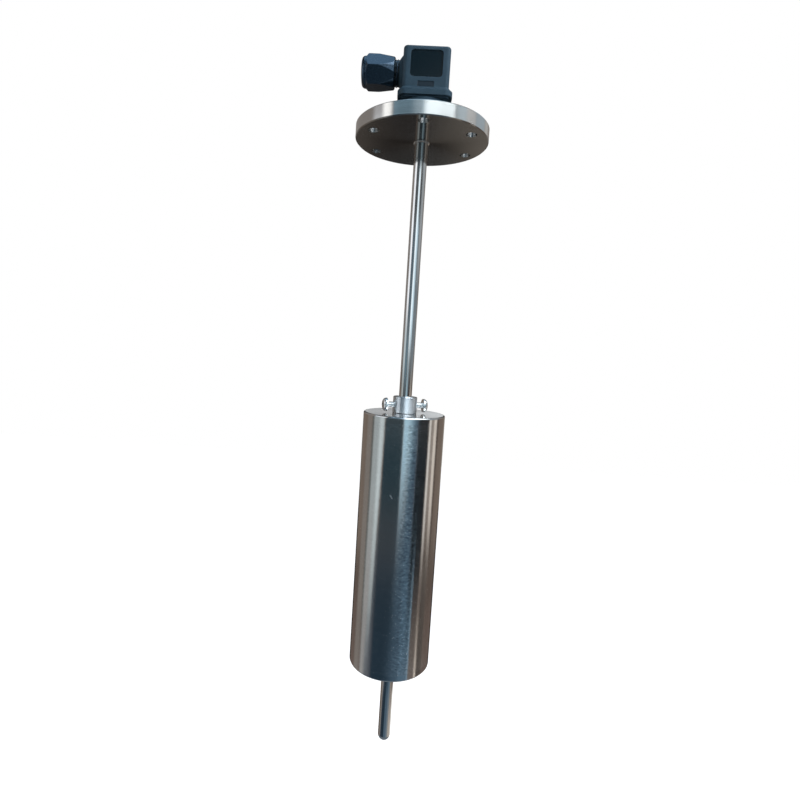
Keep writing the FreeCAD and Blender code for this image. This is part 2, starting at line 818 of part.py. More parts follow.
def base_blades():
    """Four flat contact blades with narrow tails inside the foot."""
    near = "blade_place - blade_thickness / 2"
    half = "blade_width / 2"
    half_tail = "blade_tail_width / 2"
    members = []
    for angle in QUARTERS:
        body = new_body("base_blade", angle)
        sketch = new_sketch(body, "YZ_Plane", near)
        draw_outline(sketch, [
            (f"-{half_tail}", "blade_tail_end"),
            (half_tail, "blade_tail_end"),
            (half_tail, "foot_cavity_top"),
            (half, "foot_cavity_top"),
            (half, "blade_top"),
            (f"-{half}", "blade_top"),
            (f"-{half}", "foot_cavity_top"),
            (f"-{half_tail}", "foot_cavity_top"),
        ])
        pad(body, sketch, "blade_thickness")
        members.append(body)
    return group("base_blades", members)


def centre_nut():
    """Threaded brass insert of the base."""
    return tube("centre_nut", "centre_screw_diameter / 2 + centre_nut_gap", "centre_nut_diameter / 2",
                "plate_top - centre_nut_height", "plate_top")


def profile_gasket():
    """Square frame between the plate of the base and the housing."""
    body = new_body("profile_gasket")
    outer = new_sketch(body, "XY_Plane", "plate_top")
    draw_rounded_rectangle(outer, "plate_width", "plate_width", "plate_corner")
    pad(body, outer, "gasket_thickness")
    inner = new_sketch(body, "XY_Plane", "gasket_top")
    draw_rounded_rectangle(inner, "cavity_width", "cavity_width", "cavity_corner")
    pocket(body, inner, "gasket_thickness")
    return body


def plug_housing():
    """Hollow plug: a square body on a wider skirt, with a threaded neck for the gland on one side."""
    body = new_body("plug_housing")
    skirt = new_sketch(body, "XY_Plane", "skirt_bottom")
    draw_rounded_rectangle(skirt, "skirt_width", "skirt_width", "skirt_corner")
    shoulder = "skirt_bottom + skirt_height + skirt_overhang"
    pad(body, skirt, "skirt_height + skirt_overhang")
    dress(body, "Chamfer", edges_at(body, shoulder), Size="skirt_overhang")
    tower = new_sketch(body, "XY_Plane", "skirt_bottom")
    draw_rounded_rectangle(tower, "body_width", "body_width", "body_corner")
    pad(body, tower, "plug_height")
    dress(body, "Fillet", edges_at(body, "plug_top"), Radius="top_edge_round")
    wall_start = "-(body_width / 2 - housing_wall / 2)"
    gland_place = (wall_start, "0", "gland_level")
    primitive(body, "AdditiveCylinder", gland_place, AGAINST_X, Radius="boss_diameter / 2",
              Height="housing_wall / 2 + boss_rim")
    primitive(body, "AdditiveCone", ("-(body_width / 2 + boss_rim)", "0", "gland_level"), AGAINST_X,
              Radius1="boss_diameter / 2", Radius2="neck_diameter / 2", Height="boss_length - boss_rim")
    primitive(body, "AdditiveCylinder", gland_place, AGAINST_X, Radius="neck_diameter / 2",
              Height="housing_wall / 2 + neck_end")
    recess = new_sketch(body, "XY_Plane", "skirt_bottom")
    draw_rounded_rectangle(recess, "pocket_width", "pocket_width", "pocket_corner")
    pocket(body, recess, "gasket_top - skirt_bottom", forwards=True)
    cavity = new_sketch(body, "XY_Plane", "gasket_top")
    draw_rounded_rectangle(cavity, "cavity_width", "cavity_width", "cavity_corner")
    pocket(body, cavity, "cavity_top - gasket_top", forwards=True)
    bore_place = ("-(body_width / 2 - housing_wall)", "0", "gland_level")
    primitive(body, "SubtractiveCylinder", bore_place, AGAINST_X,
              Radius="neck_bore_diameter / 2", Height="housing_wall + neck_end")
    seat_place = ("-(body_width / 2 + seal_start)", "0", "gland_level")
    primitive(body, "SubtractiveCylinder", seat_place, AGAINST_X,
              Radius="seal_seat_radius", Height="seal_seat_depth")
    for face, forwards in (("body_width / 2", False), ("-body_width / 2", True)):
        panel = new_sketch(body, "XZ_Plane", face)
        draw_rounded_rectangle(panel, "panel_width", "panel_height", "panel_corner",
                               "(plug_top - panel_drop)")
        pocket(body, panel, "panel_depth", forwards)
    mark = new_sketch(body, "XZ_Plane", "body_width / 2")
    draw_rounded_rectangle(mark, "plate_mark_width", "plate_mark_height", "plate_mark_corner",
                           "(plug_top - plate_mark_drop)")
    pocket(body, mark, "plate_mark_depth")
    primitive(body, "SubtractiveCylinder", ("0", "0", "recess_floor"),
              Radius="centre_recess_diameter / 2", Height="centre_recess_depth")
    primitive(body, "SubtractiveCylinder", ("0", "0", "cavity_top"),
              Radius="centre_screw_diameter / 2 + centre_screw_gap", Height="top_wall")
    return body


def terminal_insert():
    """Terminal block with four chambers for contacts and a hole for the centre screw."""
    body = new_body("terminal_insert")
    outline = new_sketch(body, "XY_Plane", "insert_bottom")
    draw_rounded_rectangle(outline, "insert_width", "insert_width", "cavity_corner")
    pad(body, outline, "insert_top - insert_bottom")
    chamber_x = "blade_place - contact_depth / 2 - contact_gap"
    chamber_y = "-contact_width / 2 - contact_gap"
    chamber = primitive(body, "SubtractiveBox", (chamber_x, chamber_y, "insert_bottom"),
                        Length="contact_depth + 2 * contact_gap", Width="contact_width + 2 * contact_gap",
                        Height="insert_top - insert_bottom")
    well = primitive(body, "SubtractiveCylinder", ("blade_place", "0", "contact_top"),
                     Radius="terminal_head_diameter / 2 + terminal_gap", Height="terminal_recess")
    repeat(body, [chamber, well], str(len(QUARTERS)))
    primitive(body, "SubtractiveCylinder", ("0", "0", "insert_bottom"),
              Radius="centre_screw_diameter / 2 + centre_screw_gap", Height="insert_top - insert_bottom")
    return body


def terminal_contacts():
    """Four brass contacts, each with a slot for a blade and a tapped hole above it."""
    members = []
    for angle in QUARTERS:
        body = new_body("terminal_contact", angle)
        block_place = ("blade_place - contact_depth / 2", "-contact_width / 2", "contact_bottom")
        primitive(body, "AdditiveBox", block_place,
                  Length="contact_depth", Width="contact_width", Height="contact_top - contact_bottom")
        slot_x = "blade_place - blade_thickness / 2 - blade_slot_gap"
        primitive(body, "SubtractiveBox", (slot_x, "-blade_width / 2 - blade_slot_gap", "contact_bottom"),
                  Length="blade_thickness + 2 * blade_slot_gap", Width="blade_width + 2 * blade_slot_gap",
                  Height="blade_slot_top - contact_bottom")
        primitive(body, "SubtractiveCylinder", ("blade_place", "0", "blade_slot_top + contact_web"),
                  Radius="terminal_screw_diameter / 2 + terminal_gap", Height="terminal_screw_length")
        members.append(body)
    return group("terminal_contacts", members)


def terminal_screws():
    """Four slotted clamp screws on top of the contacts."""
    tip = "contact_top - terminal_screw_length + terminal_gap"
    top = "(contact_top + terminal_head_height)"
    members = []
    for angle in QUARTERS:
        body = turned("terminal_screw", [
            ("0", tip),
            ("terminal_screw_diameter / 2", tip),
            ("terminal_screw_diameter / 2", "contact_top"),
            ("terminal_head_diameter / 2", "contact_top"),
            ("terminal_head_diameter / 2", top),
            ("0", top),
        ])
        primitive(body, "SubtractiveBox",
                  ("-terminal_head_diameter / 2", "-slot_width / 2", f"{top} - slot_depth"),
                  Length="terminal_head_diameter", Width="slot_width", Height="slot_depth")
        x_side = {0: "", 180: "-"}.get(angle, "0 * ")
        y_side = {90: "", 270: "-"}.get(angle, "0 * ")
        put(body, (f"{x_side}blade_place", f"{y_side}blade_place", "0"))
        members.append(body)
    return group("terminal_screws", members)


def centre_screw():
    """Long screw with a slotted head in the top recess, down into the insert of the base."""
    top = "(centre_head_seat + centre_head_height)"
    body = turned("centre_screw", [
        ("0", "centre_screw_tip"),
        ("centre_screw_diameter / 2", "centre_screw_tip"),
        ("centre_screw_diameter / 2", "centre_head_seat"),
        ("centre_head_diameter / 2", "centre_head_seat"),
        ("centre_head_diameter / 2", top),
        ("0", top),
    ])
    primitive(body, "SubtractiveBox",
              ("-centre_head_diameter / 2", "-slot_width / 2", f"{top} - slot_depth"),
              Length="centre_head_diameter", Width="slot_width", Height="slot_depth")
    return body


def screw_washer():
    """Sealing washer under the head of the centre screw."""
    return tube("screw_washer", "centre_screw_diameter / 2 + centre_nut_gap", "centre_head_diameter / 2",
                "recess_floor", "centre_head_seat")


def put_on_gland(body, distance):
    """Lay a body along the gland's axis, at a distance from the side of the plug."""
    put(body, (f"-(body_width / 2 + {distance})", "0", "gland_level"), AGAINST_X)
    doc.recompute()
    return body


def gland_nut():
    """Cap nut: hexagonal, cut by a cone towards the plug, with a smaller rounded ring at its outer end."""
    inner_face = "nut_length - nut_end_wall"
    ring = "nut_ring_diameter / 2"
    body = turned("gland_nut", [
        ("nut_bore", "0"),
        ("nut_cone_diameter / 2 - nut_lead_chamfer", "0"),
        ("nut_cone_diameter / 2", "nut_lead_chamfer"),
        ("nut_corner_radius", "nut_cone_length"),
        ("nut_corner_radius", "nut_hex_length - nut_hex_chamfer"),
        ("nut_corner_radius - nut_hex_chamfer", "nut_hex_length"),
        (ring, "nut_hex_length"),
        (ring, "nut_length"),
        ("nut_hole_diameter / 2", "nut_length"),
        ("nut_hole_diameter / 2", inner_face),
        ("seal_seat_radius", inner_face),
        ("seal_seat_radius", "nut_thread_length + nut_bore - seal_seat_radius"),
        ("nut_bore", "nut_thread_length"),
    ])
    dress(body, "Fillet", rings_at(body, ring, "nut_length"), Radius="nut_ring_round")
    flats = new_sketch(body, "XY_Plane")
    half = "nut_across_flats / 2"
    rise = "nut_corner_radius / 2"
    draw_outline(flats, [
        (half, f"-{rise}"),
        (half, rise),
        ("0", "nut_corner_radius"),
        (f"-{half}", rise),
        (f"-{half}", f"-{rise}"),
        ("0", "-nut_corner_radius"),
    ])
    draw_circle(flats, "0", "0", "nut_across_flats")
    pocket(body, flats, "nut_hex_length", forwards=True)
    return put_on_gland(body, "nut_offset")


def gland_seal():
    """Rubber ring from the seat in the neck to the washer of the nut."""
    body = tube("gland_seal", "cable_bore_diameter / 2", "seal_diameter / 2", "0", "seal_length")
    return put_on_gland(body, "seal_start")


def gland_washer():
    """Thin washer between the rubber ring and the end wall of the nut."""
    body = tube("gland_washer", "nut_hole_diameter / 2", "seal_diameter / 2", "0", "gland_washer_thickness")
    return put_on_gland(body, "washer_start")


def check(nodes):
    """Stop on any object that failed or any shape that isn't sound."""
    for obj in doc.Objects:
        if {"Invalid", "Error"} & set(obj.State):
            raise ValueError(f"{obj.Label} failed: {obj.State}")
    for node in nodes:
        if node.Shape.isNull() or not node.Shape.isValid() or not node.Shape.Solids:
            raise ValueError(f"{node.Label} has no sound solid")


def main():
    """Build every piece of the sensor and write it out."""
    nodes = [
        flange(),
        stem_tube(),
        stem_end_plug(),
        retaining_ring(),
        stop_collar(),
        collar_screws(),
        float_shell(),
        float_cap("float_top_cap", "float_top", "-"),
        float_cap("float_bottom_cap", "float_bottom", "+"),
        tube("float_guide_tube", "guide_bore", "guide_radius", "float_bottom", "float_top"),
        tube("float_magnet", "guide_radius + magnet_gap", "magnet_diameter / 2",
             "magnet_top - magnet_height", "magnet_top"),
        magnet_clips(),
        reed_board(),
        reed_switch(),
        signal_wires(),
        foot_seal(),
        plug_base(),
        base_screws(),
        base_blades(),
        centre_nut(),
        profile_gasket(),
        plug_housing(),
        terminal_insert(),
        terminal_contacts(),
        terminal_screws(),
        centre_screw(),
        screw_washer(),
        gland_nut(),
        gland_seal(),
        gland_washer(),
    ]
    doc.recompute()
    check(nodes)
    os.makedirs("parts", exist_ok=True)
    for node in nodes:
        node.Shape.exportStep(f"parts/{node.Label}.step")


main()
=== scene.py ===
"""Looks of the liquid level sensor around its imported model: metres, +Z up the stem, photographed from -Y."""

import json
import logging
import math
from dataclasses import dataclass
from enum import Enum

import bpy
import numpy as np
from mathutils import Matrix, Vector

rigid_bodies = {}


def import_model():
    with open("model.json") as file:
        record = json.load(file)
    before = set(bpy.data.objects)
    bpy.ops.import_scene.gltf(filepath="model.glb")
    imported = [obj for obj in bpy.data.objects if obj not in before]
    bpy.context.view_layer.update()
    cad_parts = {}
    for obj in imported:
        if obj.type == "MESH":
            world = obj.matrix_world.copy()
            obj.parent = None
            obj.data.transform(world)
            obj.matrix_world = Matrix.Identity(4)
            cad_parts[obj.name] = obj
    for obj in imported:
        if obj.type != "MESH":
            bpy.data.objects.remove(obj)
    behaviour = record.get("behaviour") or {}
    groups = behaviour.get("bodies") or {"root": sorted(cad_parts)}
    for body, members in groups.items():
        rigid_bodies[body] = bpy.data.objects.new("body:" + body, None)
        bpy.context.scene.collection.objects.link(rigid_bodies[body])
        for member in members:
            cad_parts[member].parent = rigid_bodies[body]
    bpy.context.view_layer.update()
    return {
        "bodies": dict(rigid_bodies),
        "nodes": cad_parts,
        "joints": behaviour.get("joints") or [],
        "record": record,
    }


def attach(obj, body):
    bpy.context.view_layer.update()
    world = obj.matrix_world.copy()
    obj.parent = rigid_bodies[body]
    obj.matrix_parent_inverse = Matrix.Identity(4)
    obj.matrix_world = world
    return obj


Socket = bpy.types.NodeSocket
Tree = bpy.types.NodeTree
Triple = tuple[float, float, float]

LOG = logging.getLogger("level_sensor")
MM = 0.001
SENSOR = "sensor"
# Heights of the axis of the collar's screws and of the gland's axis, in millimetres
COLLAR_LEVEL = -159.3
GLAND_LEVEL = 39.7

# Blender's names for the kinds of node that come up most
MATH = "ShaderNodeMath"
VECTOR = "ShaderNodeVectorMath"
RANGE = "ShaderNodeMapRange"
MIX = "ShaderNodeMix"
NOISE = "ShaderNodeTexNoise"
PARTS = "ShaderNodeSeparateXYZ"

# Nearly all values of a noise lie in the first span, and most of them in the second
NOISE_SPAN = {"From Min": 0.3, "From Max": 0.7}
CLOUD_SPAN = {"From Min": 0.35, "From Max": 0.65}
# Middle of a noise, which leaves a bump level
NOISE_MIDDLE = 0.5


def linear(colour: str, strength: float = 1.0) -> tuple[float, float, float, float]:
    """Turns an sRGB hex colour to linear light.

    Args:
        colour: Six hex digits after a hash sign.
        strength: Factor on the linear light.

    Returns:
        Red, green and blue in linear light, and an alpha of 1.
    """
    coded = np.array([int(colour[i:i + 2], 16) for i in (1, 3, 5)]) / 255.0
    light = np.where(coded <= 0.04045, coded / 12.92, ((coded + 0.055) / 1.055) ** 2.4)
    return (*(float(value) * strength for value in light), 1.0)


def add_node(tree: Tree, kind: str, settings: dict | None = None,
             sockets: dict | None = None) -> bpy.types.Node:
    """Adds one shader node with its settings, values and links.

    Args:
        tree: Node tree that gets the node.
        kind: Blender's type name of the node.
        settings: Properties of the node by name.
        sockets: Inputs by name or number, each with a value or with another node's output.

    Returns:
        The new node.
    """
    made = tree.nodes.new(kind)
    for key, value in (settings or {}).items():
        setattr(made, key, value)
    for key, value in (sockets or {}).items():
        if isinstance(value, Socket):
            tree.links.new(value, made.inputs[key])
        else:
            made.inputs[key].default_value = value
    return made


def new_material(name: str) -> tuple[bpy.types.Material, Tree, bpy.types.Node]:
    """Starts a material.

    Args:
        name: What the material is, and how its surface was made.

    Returns:
        The material, its node tree and its Principled shader.
    """
    made = bpy.data.materials.new(name)
    made.use_nodes = True
    return made, made.node_tree, made.node_tree.nodes["Principled BSDF"]


def lay_over(tree: Tree, share: Socket, tint: Socket, rough: Socket, colour: str,
             roughness: float) -> tuple[Socket, Socket]:
    """Lays another colour and roughness over a share of a surface.

    Args:
        tree: Node tree of the material.
        share: How much is covered, from 0 to 1.
        tint: Colour so far.
        rough: Roughness so far.
        colour: Colour that is laid over.
        roughness: Roughness that is laid over.

    Returns:
        The new colour and roughness.
    """
    tint = add_node(tree, MIX, {"data_type": "RGBA"}, {0: share, 6: tint, 7: linear(colour)}).outputs[2]
    rough = add_node(tree, MIX, {}, {0: share, 2: rough, 3: roughness}).outputs[0]
    return tint, rough


def smooth_step(low: np.ndarray | float, high: np.ndarray | float, value: np.ndarray) -> np.ndarray:
    """Gives 0 below low, 1 above high and the cubic 3t^2 - 2t^3 between them."""
    t = np.clip((value - low) / (high - low), 0.0, 1.0)
    return t * t * (3.0 - 2.0 * t)


def grid_object(name: str, points: np.ndarray, wrap: tuple[bool, bool],
                capped: bool = False) -> bpy.types.Object:
    """Makes a mesh object from a grid of points, with a quad for each cell.

    Args:
        name: Name of the object.
        points: Array of rows by columns by 3, in metres. The side on which a step to the next column, then
            one to the next row, turns to the left is the outside.
        wrap: Whether the last row joins the first, and the last column the first.
        capped: Closes the first and the last row with one flat face each.

    Returns:
        The object, smooth shaded.
    """
    rows, columns = points.shape[:2]
    index = np.arange(rows * columns).reshape(rows, columns)
    if wrap[0]:
        index = np.concatenate([index, index[:1]], 0)
    if wrap[1]:
        index = np.concatenate([index, index[:, :1]], 1)
    quads = np.stack([index[:-1, :-1], index[:-1, 1:], index[1:, 1:], index[1:, :-1]], -1)
    faces = quads.reshape(-1, 4).tolist()
    if capped:
        faces += [index[0, :columns][::-1].tolist(), index[-1, :columns].tolist()]
    mesh = bpy.data.meshes.new(name)
    mesh.from_pydata(points.reshape(-1, 3).tolist(), [], faces)
    mesh.polygons.foreach_set("use_smooth", np.ones(len(mesh.polygons), bool))
    mesh.update()
    made = bpy.data.objects.new(name, mesh)
    bpy.context.scene.collection.objects.link(made)
    return made


class Lay(Enum):
    """Which way the fine tool marks of a metal run."""

    AROUND = "around the axis of the stem"
    ALONG = "along the stem"
    CROSSWISE = "around an axis across the stem"


@dataclass(frozen=True)
class Scratch:
    """A short bright scratch or nick in bare steel, by its two ends and its width in millimetres.

    The scratch is full within core of its width from its middle line, and gone past edge of it.
    """

    start: Triple
    end: Triple
    width: float
    core: float = 0.2
    edge: float = 0.6
    colour: str = "#f4f5f5"
    roughness: float = 0.8

    def mask(self, tree: Tree, place: Socket) -> Socket:
        """Gives 1 on the scratch and 0 away from it.

        The share along the scratch is the dot product with its direction, held between 0 and 1, and the mask
        falls off with the distance from that point of the scratch.

        Args:
            tree: Node tree of the material.
            place: Object coordinates.

        Returns:
            The mask.
        """
        first, last = (Vector(point) * MM for point in (self.start, self.end))
        way = last - first
        offset = add_node(tree, VECTOR, {"operation": "SUBTRACT"}, {0: place, 1: first}).outputs[0]
        reach = add_node(tree, VECTOR, {"operation": "DOT_PRODUCT"}, {
            0: offset, 1: way / way.length_squared}).outputs["Value"]
        share = add_node(tree, "ShaderNodeClamp", {}, {"Value": reach}).outputs[0]
        nearest = add_node(tree, VECTOR, {"operation": "SCALE"}, {0: way, "Scale": share}).outputs[0]
        gap = add_node(tree, VECTOR, {"operation": "DISTANCE"}, {0: offset, 1: nearest}).outputs["Value"]
        return add_node(tree, RANGE, {"interpolation_type": "SMOOTHSTEP"}, {
            "Value": gap, "From Min": self.core * self.width * MM, "From Max": self.edge * self.width * MM,
            "To Min": 1.0, "To Max": 0.0}).outputs[0]


@dataclass(frozen=True)
class Rub:
    """A streak down a round piece where its marks stand out more.

    Towards is its direction in degrees from the front, half its half width and edge the blur of its sides.
    The marks change the colour by tone on the streak, and by rest of that away from it.
    """

    towards: float
    half: float
    tone: float
    edge: float = 6.0
    rest: float = 0.15

    def shade(self, tree: Tree, lines: Socket, flat: Socket) -> Socket:
        """Gives the factor on the colour: 1 plus the swing of the marks times the streak's mask.

        The mask is a smooth step on the cosine of the angle between the place and the streak.

        Args:
            tree: Node tree of the material.
            lines: Noise of the marks.
            flat: Way out from the axis to the place on the piece.

        Returns:
            The factor.
        """
        turn = math.radians(self.towards)
        swing = add_node(tree, RANGE, {}, {
            "Value": lines, **NOISE_SPAN, "To Min": -self.tone, "To Max": self.tone}).outputs[0]
        out = add_node(tree, VECTOR, {"operation": "NORMALIZE"}, {0: flat}).outputs[0]
        near = add_node(tree, VECTOR, {"operation": "DOT_PRODUCT"}, {
            0: out, 1: (math.sin(turn), -math.cos(turn), 0.0)}).outputs["Value"]
        mask = add_node(tree, RANGE, {"interpolation_type": "SMOOTHSTEP"}, {
            "Value": near, "From Min": math.cos(math.radians(self.half + self.edge)),
            "From Max": math.cos(math.radians(self.half - self.edge)),
            "To Min": self.rest, "To Max": 1.0}).outputs[0]
        return add_node(tree, MATH, {"operation": "MULTIPLY_ADD"}, {0: swing, 1: mask, 2: 1.0}).outputs[0]


@dataclass(frozen=True)
class Facing:
    """How the flat faces of a turned disc and the walls of its holes differ from its rim, with darker colours
    that are painted shade.

    The walls that are nearer the axis than hole_reach, in millimetres, are those of the holes.
    """

    face_shade_tint: str
    face_roughness: float
    hole_shade_tint: str
    hole_roughness: float
    hole_reach: float

    def lay_on(self, tree: Tree, normal: Socket, radius: Socket, tint: Socket,
               rough: Socket) -> tuple[Socket, Socket]:
        """Lays the finish of the holes over the rim's, and then that of the faces, by the normal's Z; their
        darker colours are painted shade.

        Args:
            tree: Node tree of the material.
            normal: Normal of the surface.
            radius: Distance from the axis.
            tint: Colour of the rim.
            rough: Roughness of the rim.

        Returns:
            The new colour and roughness.
        """
        slope = add_node(tree, PARTS, {}, {0: normal}).outputs["Z"]
        level = add_node(tree, MATH, {"operation": "ABSOLUTE"}, {0: slope}).outputs[0]
        hole = add_node(tree, MATH, {"operation": "LESS_THAN"}, {
            0: radius, 1: self.hole_reach * MM}).outputs[0]
        tint, rough = lay_over(tree, hole, tint, rough, self.hole_shade_tint, self.hole_roughness)
        return lay_over(tree, level, tint, rough, self.face_shade_tint, self.face_roughness)


@dataclass(frozen=True)
class SteelFinish:
    """Bare metal with fine tool marks, which the eye reads as long soft streaks in its reflections.

    Real marks are some hundredths of a millimetre apart, which is too fine to show, so line_mm is drawn as
    coarse as it needs to show. Sway is the lean of the normal from mark to mark, on a metal that has
    anisotropy.
    """

    name: str
    light: str
    dark: str
    roughness: float
    anisotropy: float
    lay: Lay
    line_mm: float
    depth_mm: float
    run_mm: float = 40.0
    cloud_mm: float = 30.0
    spread: float = 0.04
    axis_mm: Triple = (0.0, 0.0, 0.0)
    sway: float = 0.0
    rub: Rub | None = None
    scratch: Scratch | None = None
    facing: Facing | None = None

    def material(self) -> bpy.types.Material:
        """Builds the material.

        The marks drive a small bump and the roughness, and a wide cloud mixes the two colours. The tangent
        lies across the marks, so the reflections are drawn out that way.

        Returns:
            The material.
        """
        made, tree, shader = new_material(self.name)
        place = add_node(tree, "ShaderNodeTexCoord").outputs["Object"]
        normal = add_node(tree, "ShaderNodeNewGeometry").outputs["Normal"]
        local = self.from_axis(tree, place)
        flat = add_node(tree, VECTOR, {"operation": "MULTIPLY"}, {0: local, 1: (1, 1, 0)}).outputs[0]
        radius = add_node(tree, VECTOR, {"operation": "LENGTH"}, {0: flat}).outputs["Value"]
        marks = self.mark_place(tree, local, radius)
        lines = add_node(tree, NOISE, {"noise_dimensions": "4D"}, {
            **marks, "Scale": 1.0, "Detail": 4.0, "Roughness": 0.65}).outputs["Fac"]
        cloud = add_node(tree, NOISE, {}, {
            "Vector": place, "Scale": 1.0 / (self.cloud_mm * MM), "Detail": 3.0}).outputs["Fac"]
        blotch = add_node(tree, RANGE, {}, {"Value": cloud, **CLOUD_SPAN}).outputs[0]
        tint = add_node(tree, MIX, {"data_type": "RGBA"}, {
            0: blotch, 6: linear(self.dark), 7: linear(self.light)}).outputs[2]
        rough = add_node(tree, RANGE, {}, {
            "Value": lines, **NOISE_SPAN,
            "To Min": self.roughness - self.spread, "To Max": self.roughness + self.spread}).outputs[0]
        if self.rub:
            tint = add_node(tree, MIX, {"data_type": "RGBA", "blend_type": "MULTIPLY"}, {
                0: 1.0, 6: tint, 7: self.rub.shade(tree, lines, flat)}).outputs[2]
        if self.scratch:
            torn = self.scratch.mask(tree, place)
            tint, rough = lay_over(tree, torn, tint, rough, self.scratch.colour, self.scratch.roughness)
        if self.facing:
            tint, rough = self.facing.lay_on(tree, normal, radius, tint, rough)
        if self.anisotropy:
            mark = self.mark_direction(tree, local, normal)
            across = add_node(tree, VECTOR, {"operation": "CROSS_PRODUCT"}, {0: normal, 1: mark}).outputs[0]
            tree.links.new(across, shader.inputs["Tangent"])
            if self.sway:
                normal = self.frayed(tree, normal, mark, marks)
        bump = add_node(tree, "ShaderNodeBump", {}, {
            "Strength": 1.0, "Distance": self.depth_mm * MM, "Height": lines, "Normal": normal}).outputs[0]
        shader.inputs["Metallic"].default_value = 1.0
        shader.inputs["Anisotropic"].default_value = self.anisotropy
        tree.links.new(tint, shader.inputs["Base Color"])
        tree.links.new(rough, shader.inputs["Roughness"])
        tree.links.new(bump, shader.inputs["Normal"])
        return made

    def from_axis(self, tree: Tree, place: Socket) -> Socket:
        """Gives the place counted from the axis of the marks, turned so that this axis is Z.

        Args:
            tree: Node tree of the material.
            place: Object coordinates.

        Returns:
            The place.
        """
        back = tuple(-value * MM for value in self.axis_mm)
        turn = (0.0, math.pi / 2, 0.0) if self.lay is Lay.CROSSWISE else (0.0, 0.0, 0.0)
        moved = add_node(tree, VECTOR, {"operation": "ADD"}, {0: place, 1: back}).outputs[0]
        return add_node(tree, "ShaderNodeMapping", {}, {"Vector": moved, "Rotation": turn}).outputs[0]

    def mark_place(self, tree: Tree, local: Socket, radius: Socket) -> dict[str, Socket]:
        """Gives where a place lies in the noise of the marks.

        The first three coordinates are the place, stretched so that the marks are line_mm apart across the
        lay and run_mm long along it. The fourth is the distance from the axis, which makes rings of them on a
        flat face.

        Args:
            tree: Node tree of the material.
            local: Place, from the axis of the marks.
            radius: Distance from that axis.

        Returns:
            The inputs of the noise, by name.
        """
        across = 1.0 / (self.line_mm * MM)
        run = 1.0 / (self.run_mm * MM)
        size = (across, across, run) if self.lay is Lay.ALONG else (run, run, across)
        stretched = add_node(tree, VECTOR, {"operation": "MULTIPLY"}, {0: local, 1: size}).outputs[0]
        ring = add_node(tree, MATH, {"operation": "MULTIPLY"}, {0: radius, 1: across}).outputs[0]
        return {"Vector": stretched, "W": ring}

    def mark_direction(self, tree: Tree, local: Socket, normal: Socket) -> Socket:
        """Gives the direction of the marks: along the stem, or square to the axis and to the way out.

        The way out is the normal on an upright wall, which also takes the marks round the bolt holes, and the
        way from the axis on a flat face, where a millimetre of it counts as much as the normal.

        Args:
            tree: Node tree of the material.
            local: Place, from the axis of the marks.
            normal: Normal of the surface.

        Returns:
            The direction, of length 1.
        """
        if self.lay is Lay.ALONG:
            return add_node(tree, "ShaderNodeCombineXYZ", {}, {"Z": 1.0}).outputs[0]
        slope = add_node(tree, PARTS, {}, {0: normal}).outputs["Z"]
        level = add_node(tree, MATH, {"operation": "ABSOLUTE"}, {0: slope}).outputs[0]
        share = add_node(tree, MATH, {"operation": "MULTIPLY"}, {0: level, 1: 1.0 / MM}).outputs[0]
        flat = add_node(tree, VECTOR, {"operation": "SCALE"}, {0: local, "Scale": share}).outputs[0]
        out = add_node(tree, VECTOR, {"operation": "ADD"}, {0: normal, 1: flat}).outputs[0]
        mark = add_node(tree, VECTOR, {"operation": "CROSS_PRODUCT"}, {0: (0, 0, 1), 1: out}).outputs[0]
        return add_node(tree, VECTOR, {"operation": "NORMALIZE"}, {0: mark}).outputs[0]

    def frayed(self, tree: Tree, normal: Socket, mark: Socket, marks: dict[str, Socket]) -> Socket:
        """Leans the normal along the lay, mark by mark, which frays the edges of what is mirrored.

        Args:
            tree: Node tree of the material.
            normal: Normal of the surface.
            mark: Direction of the marks.
            marks: Inputs of the noise of the marks.

        Returns:
            The leaning normal, of length 1.
        """
        fray = add_node(tree, NOISE, {"noise_dimensions": "4D"}, {
            **marks, "Scale": 1.3, "Detail": 2.0}).outputs["Fac"]
        lean = add_node(tree, RANGE, {}, {
            "Value": fray, **NOISE_SPAN, "To Min": -self.sway, "To Max": self.sway}).outputs[0]
        push = add_node(tree, VECTOR, {"operation": "SCALE"}, {0: mark, "Scale": lean}).outputs[0]
        leaned = add_node(tree, VECTOR, {"operation": "ADD"}, {0: normal, 1: push}).outputs[0]
        return add_node(tree, VECTOR, {"operation": "NORMALIZE"}, {0: leaned}).outputs[0]


@dataclass(frozen=True)
class Recess:
    """A smooth sunk panel in a textured moulding, or a smooth stretch with a darker colour that is painted
    shade, by its middle and half sizes in millimetres along X and Z.

    Its face is nearer the middle of the moulding than least_depth.
    """

    middle: tuple[float, float]
    half: tuple[float, float]
    least_depth: float
    colour: str
    roughness: float = 0.2

    def mask(self, tree: Tree, place: Socket) -> Socket:
        """Gives 1 on the sunk panel and 0 away from it.

        A point is on the panel where both |x - middle| and |z - middle| are under the half sizes, and |y| is
        that of the sunk face and not of the outer one.

        Args:
            tree: Node tree of the material.
            place: Object coordinates.

        Returns:
            The mask.
        """
        spot = add_node(tree, PARTS, {}, {0: place}).outputs
        depth = add_node(tree, MATH, {"operation": "ABSOLUTE"}, {0: spot["Y"]}).outputs[0]
        inside = add_node(tree, MATH, {"operation": "LESS_THAN"}, {
            0: depth, 1: self.least_depth * MM}).outputs[0]
        for axis, middle, half in zip("XZ", self.middle, self.half):
            near = add_node(tree, MATH, {"operation": "COMPARE"}, {
                0: spot[axis], 1: middle * MM, 2: half * MM}).outputs[0]
            inside = add_node(tree, MATH, {"operation": "MULTIPLY"}, {0: inside, 1: near}).outputs[0]
        return inside


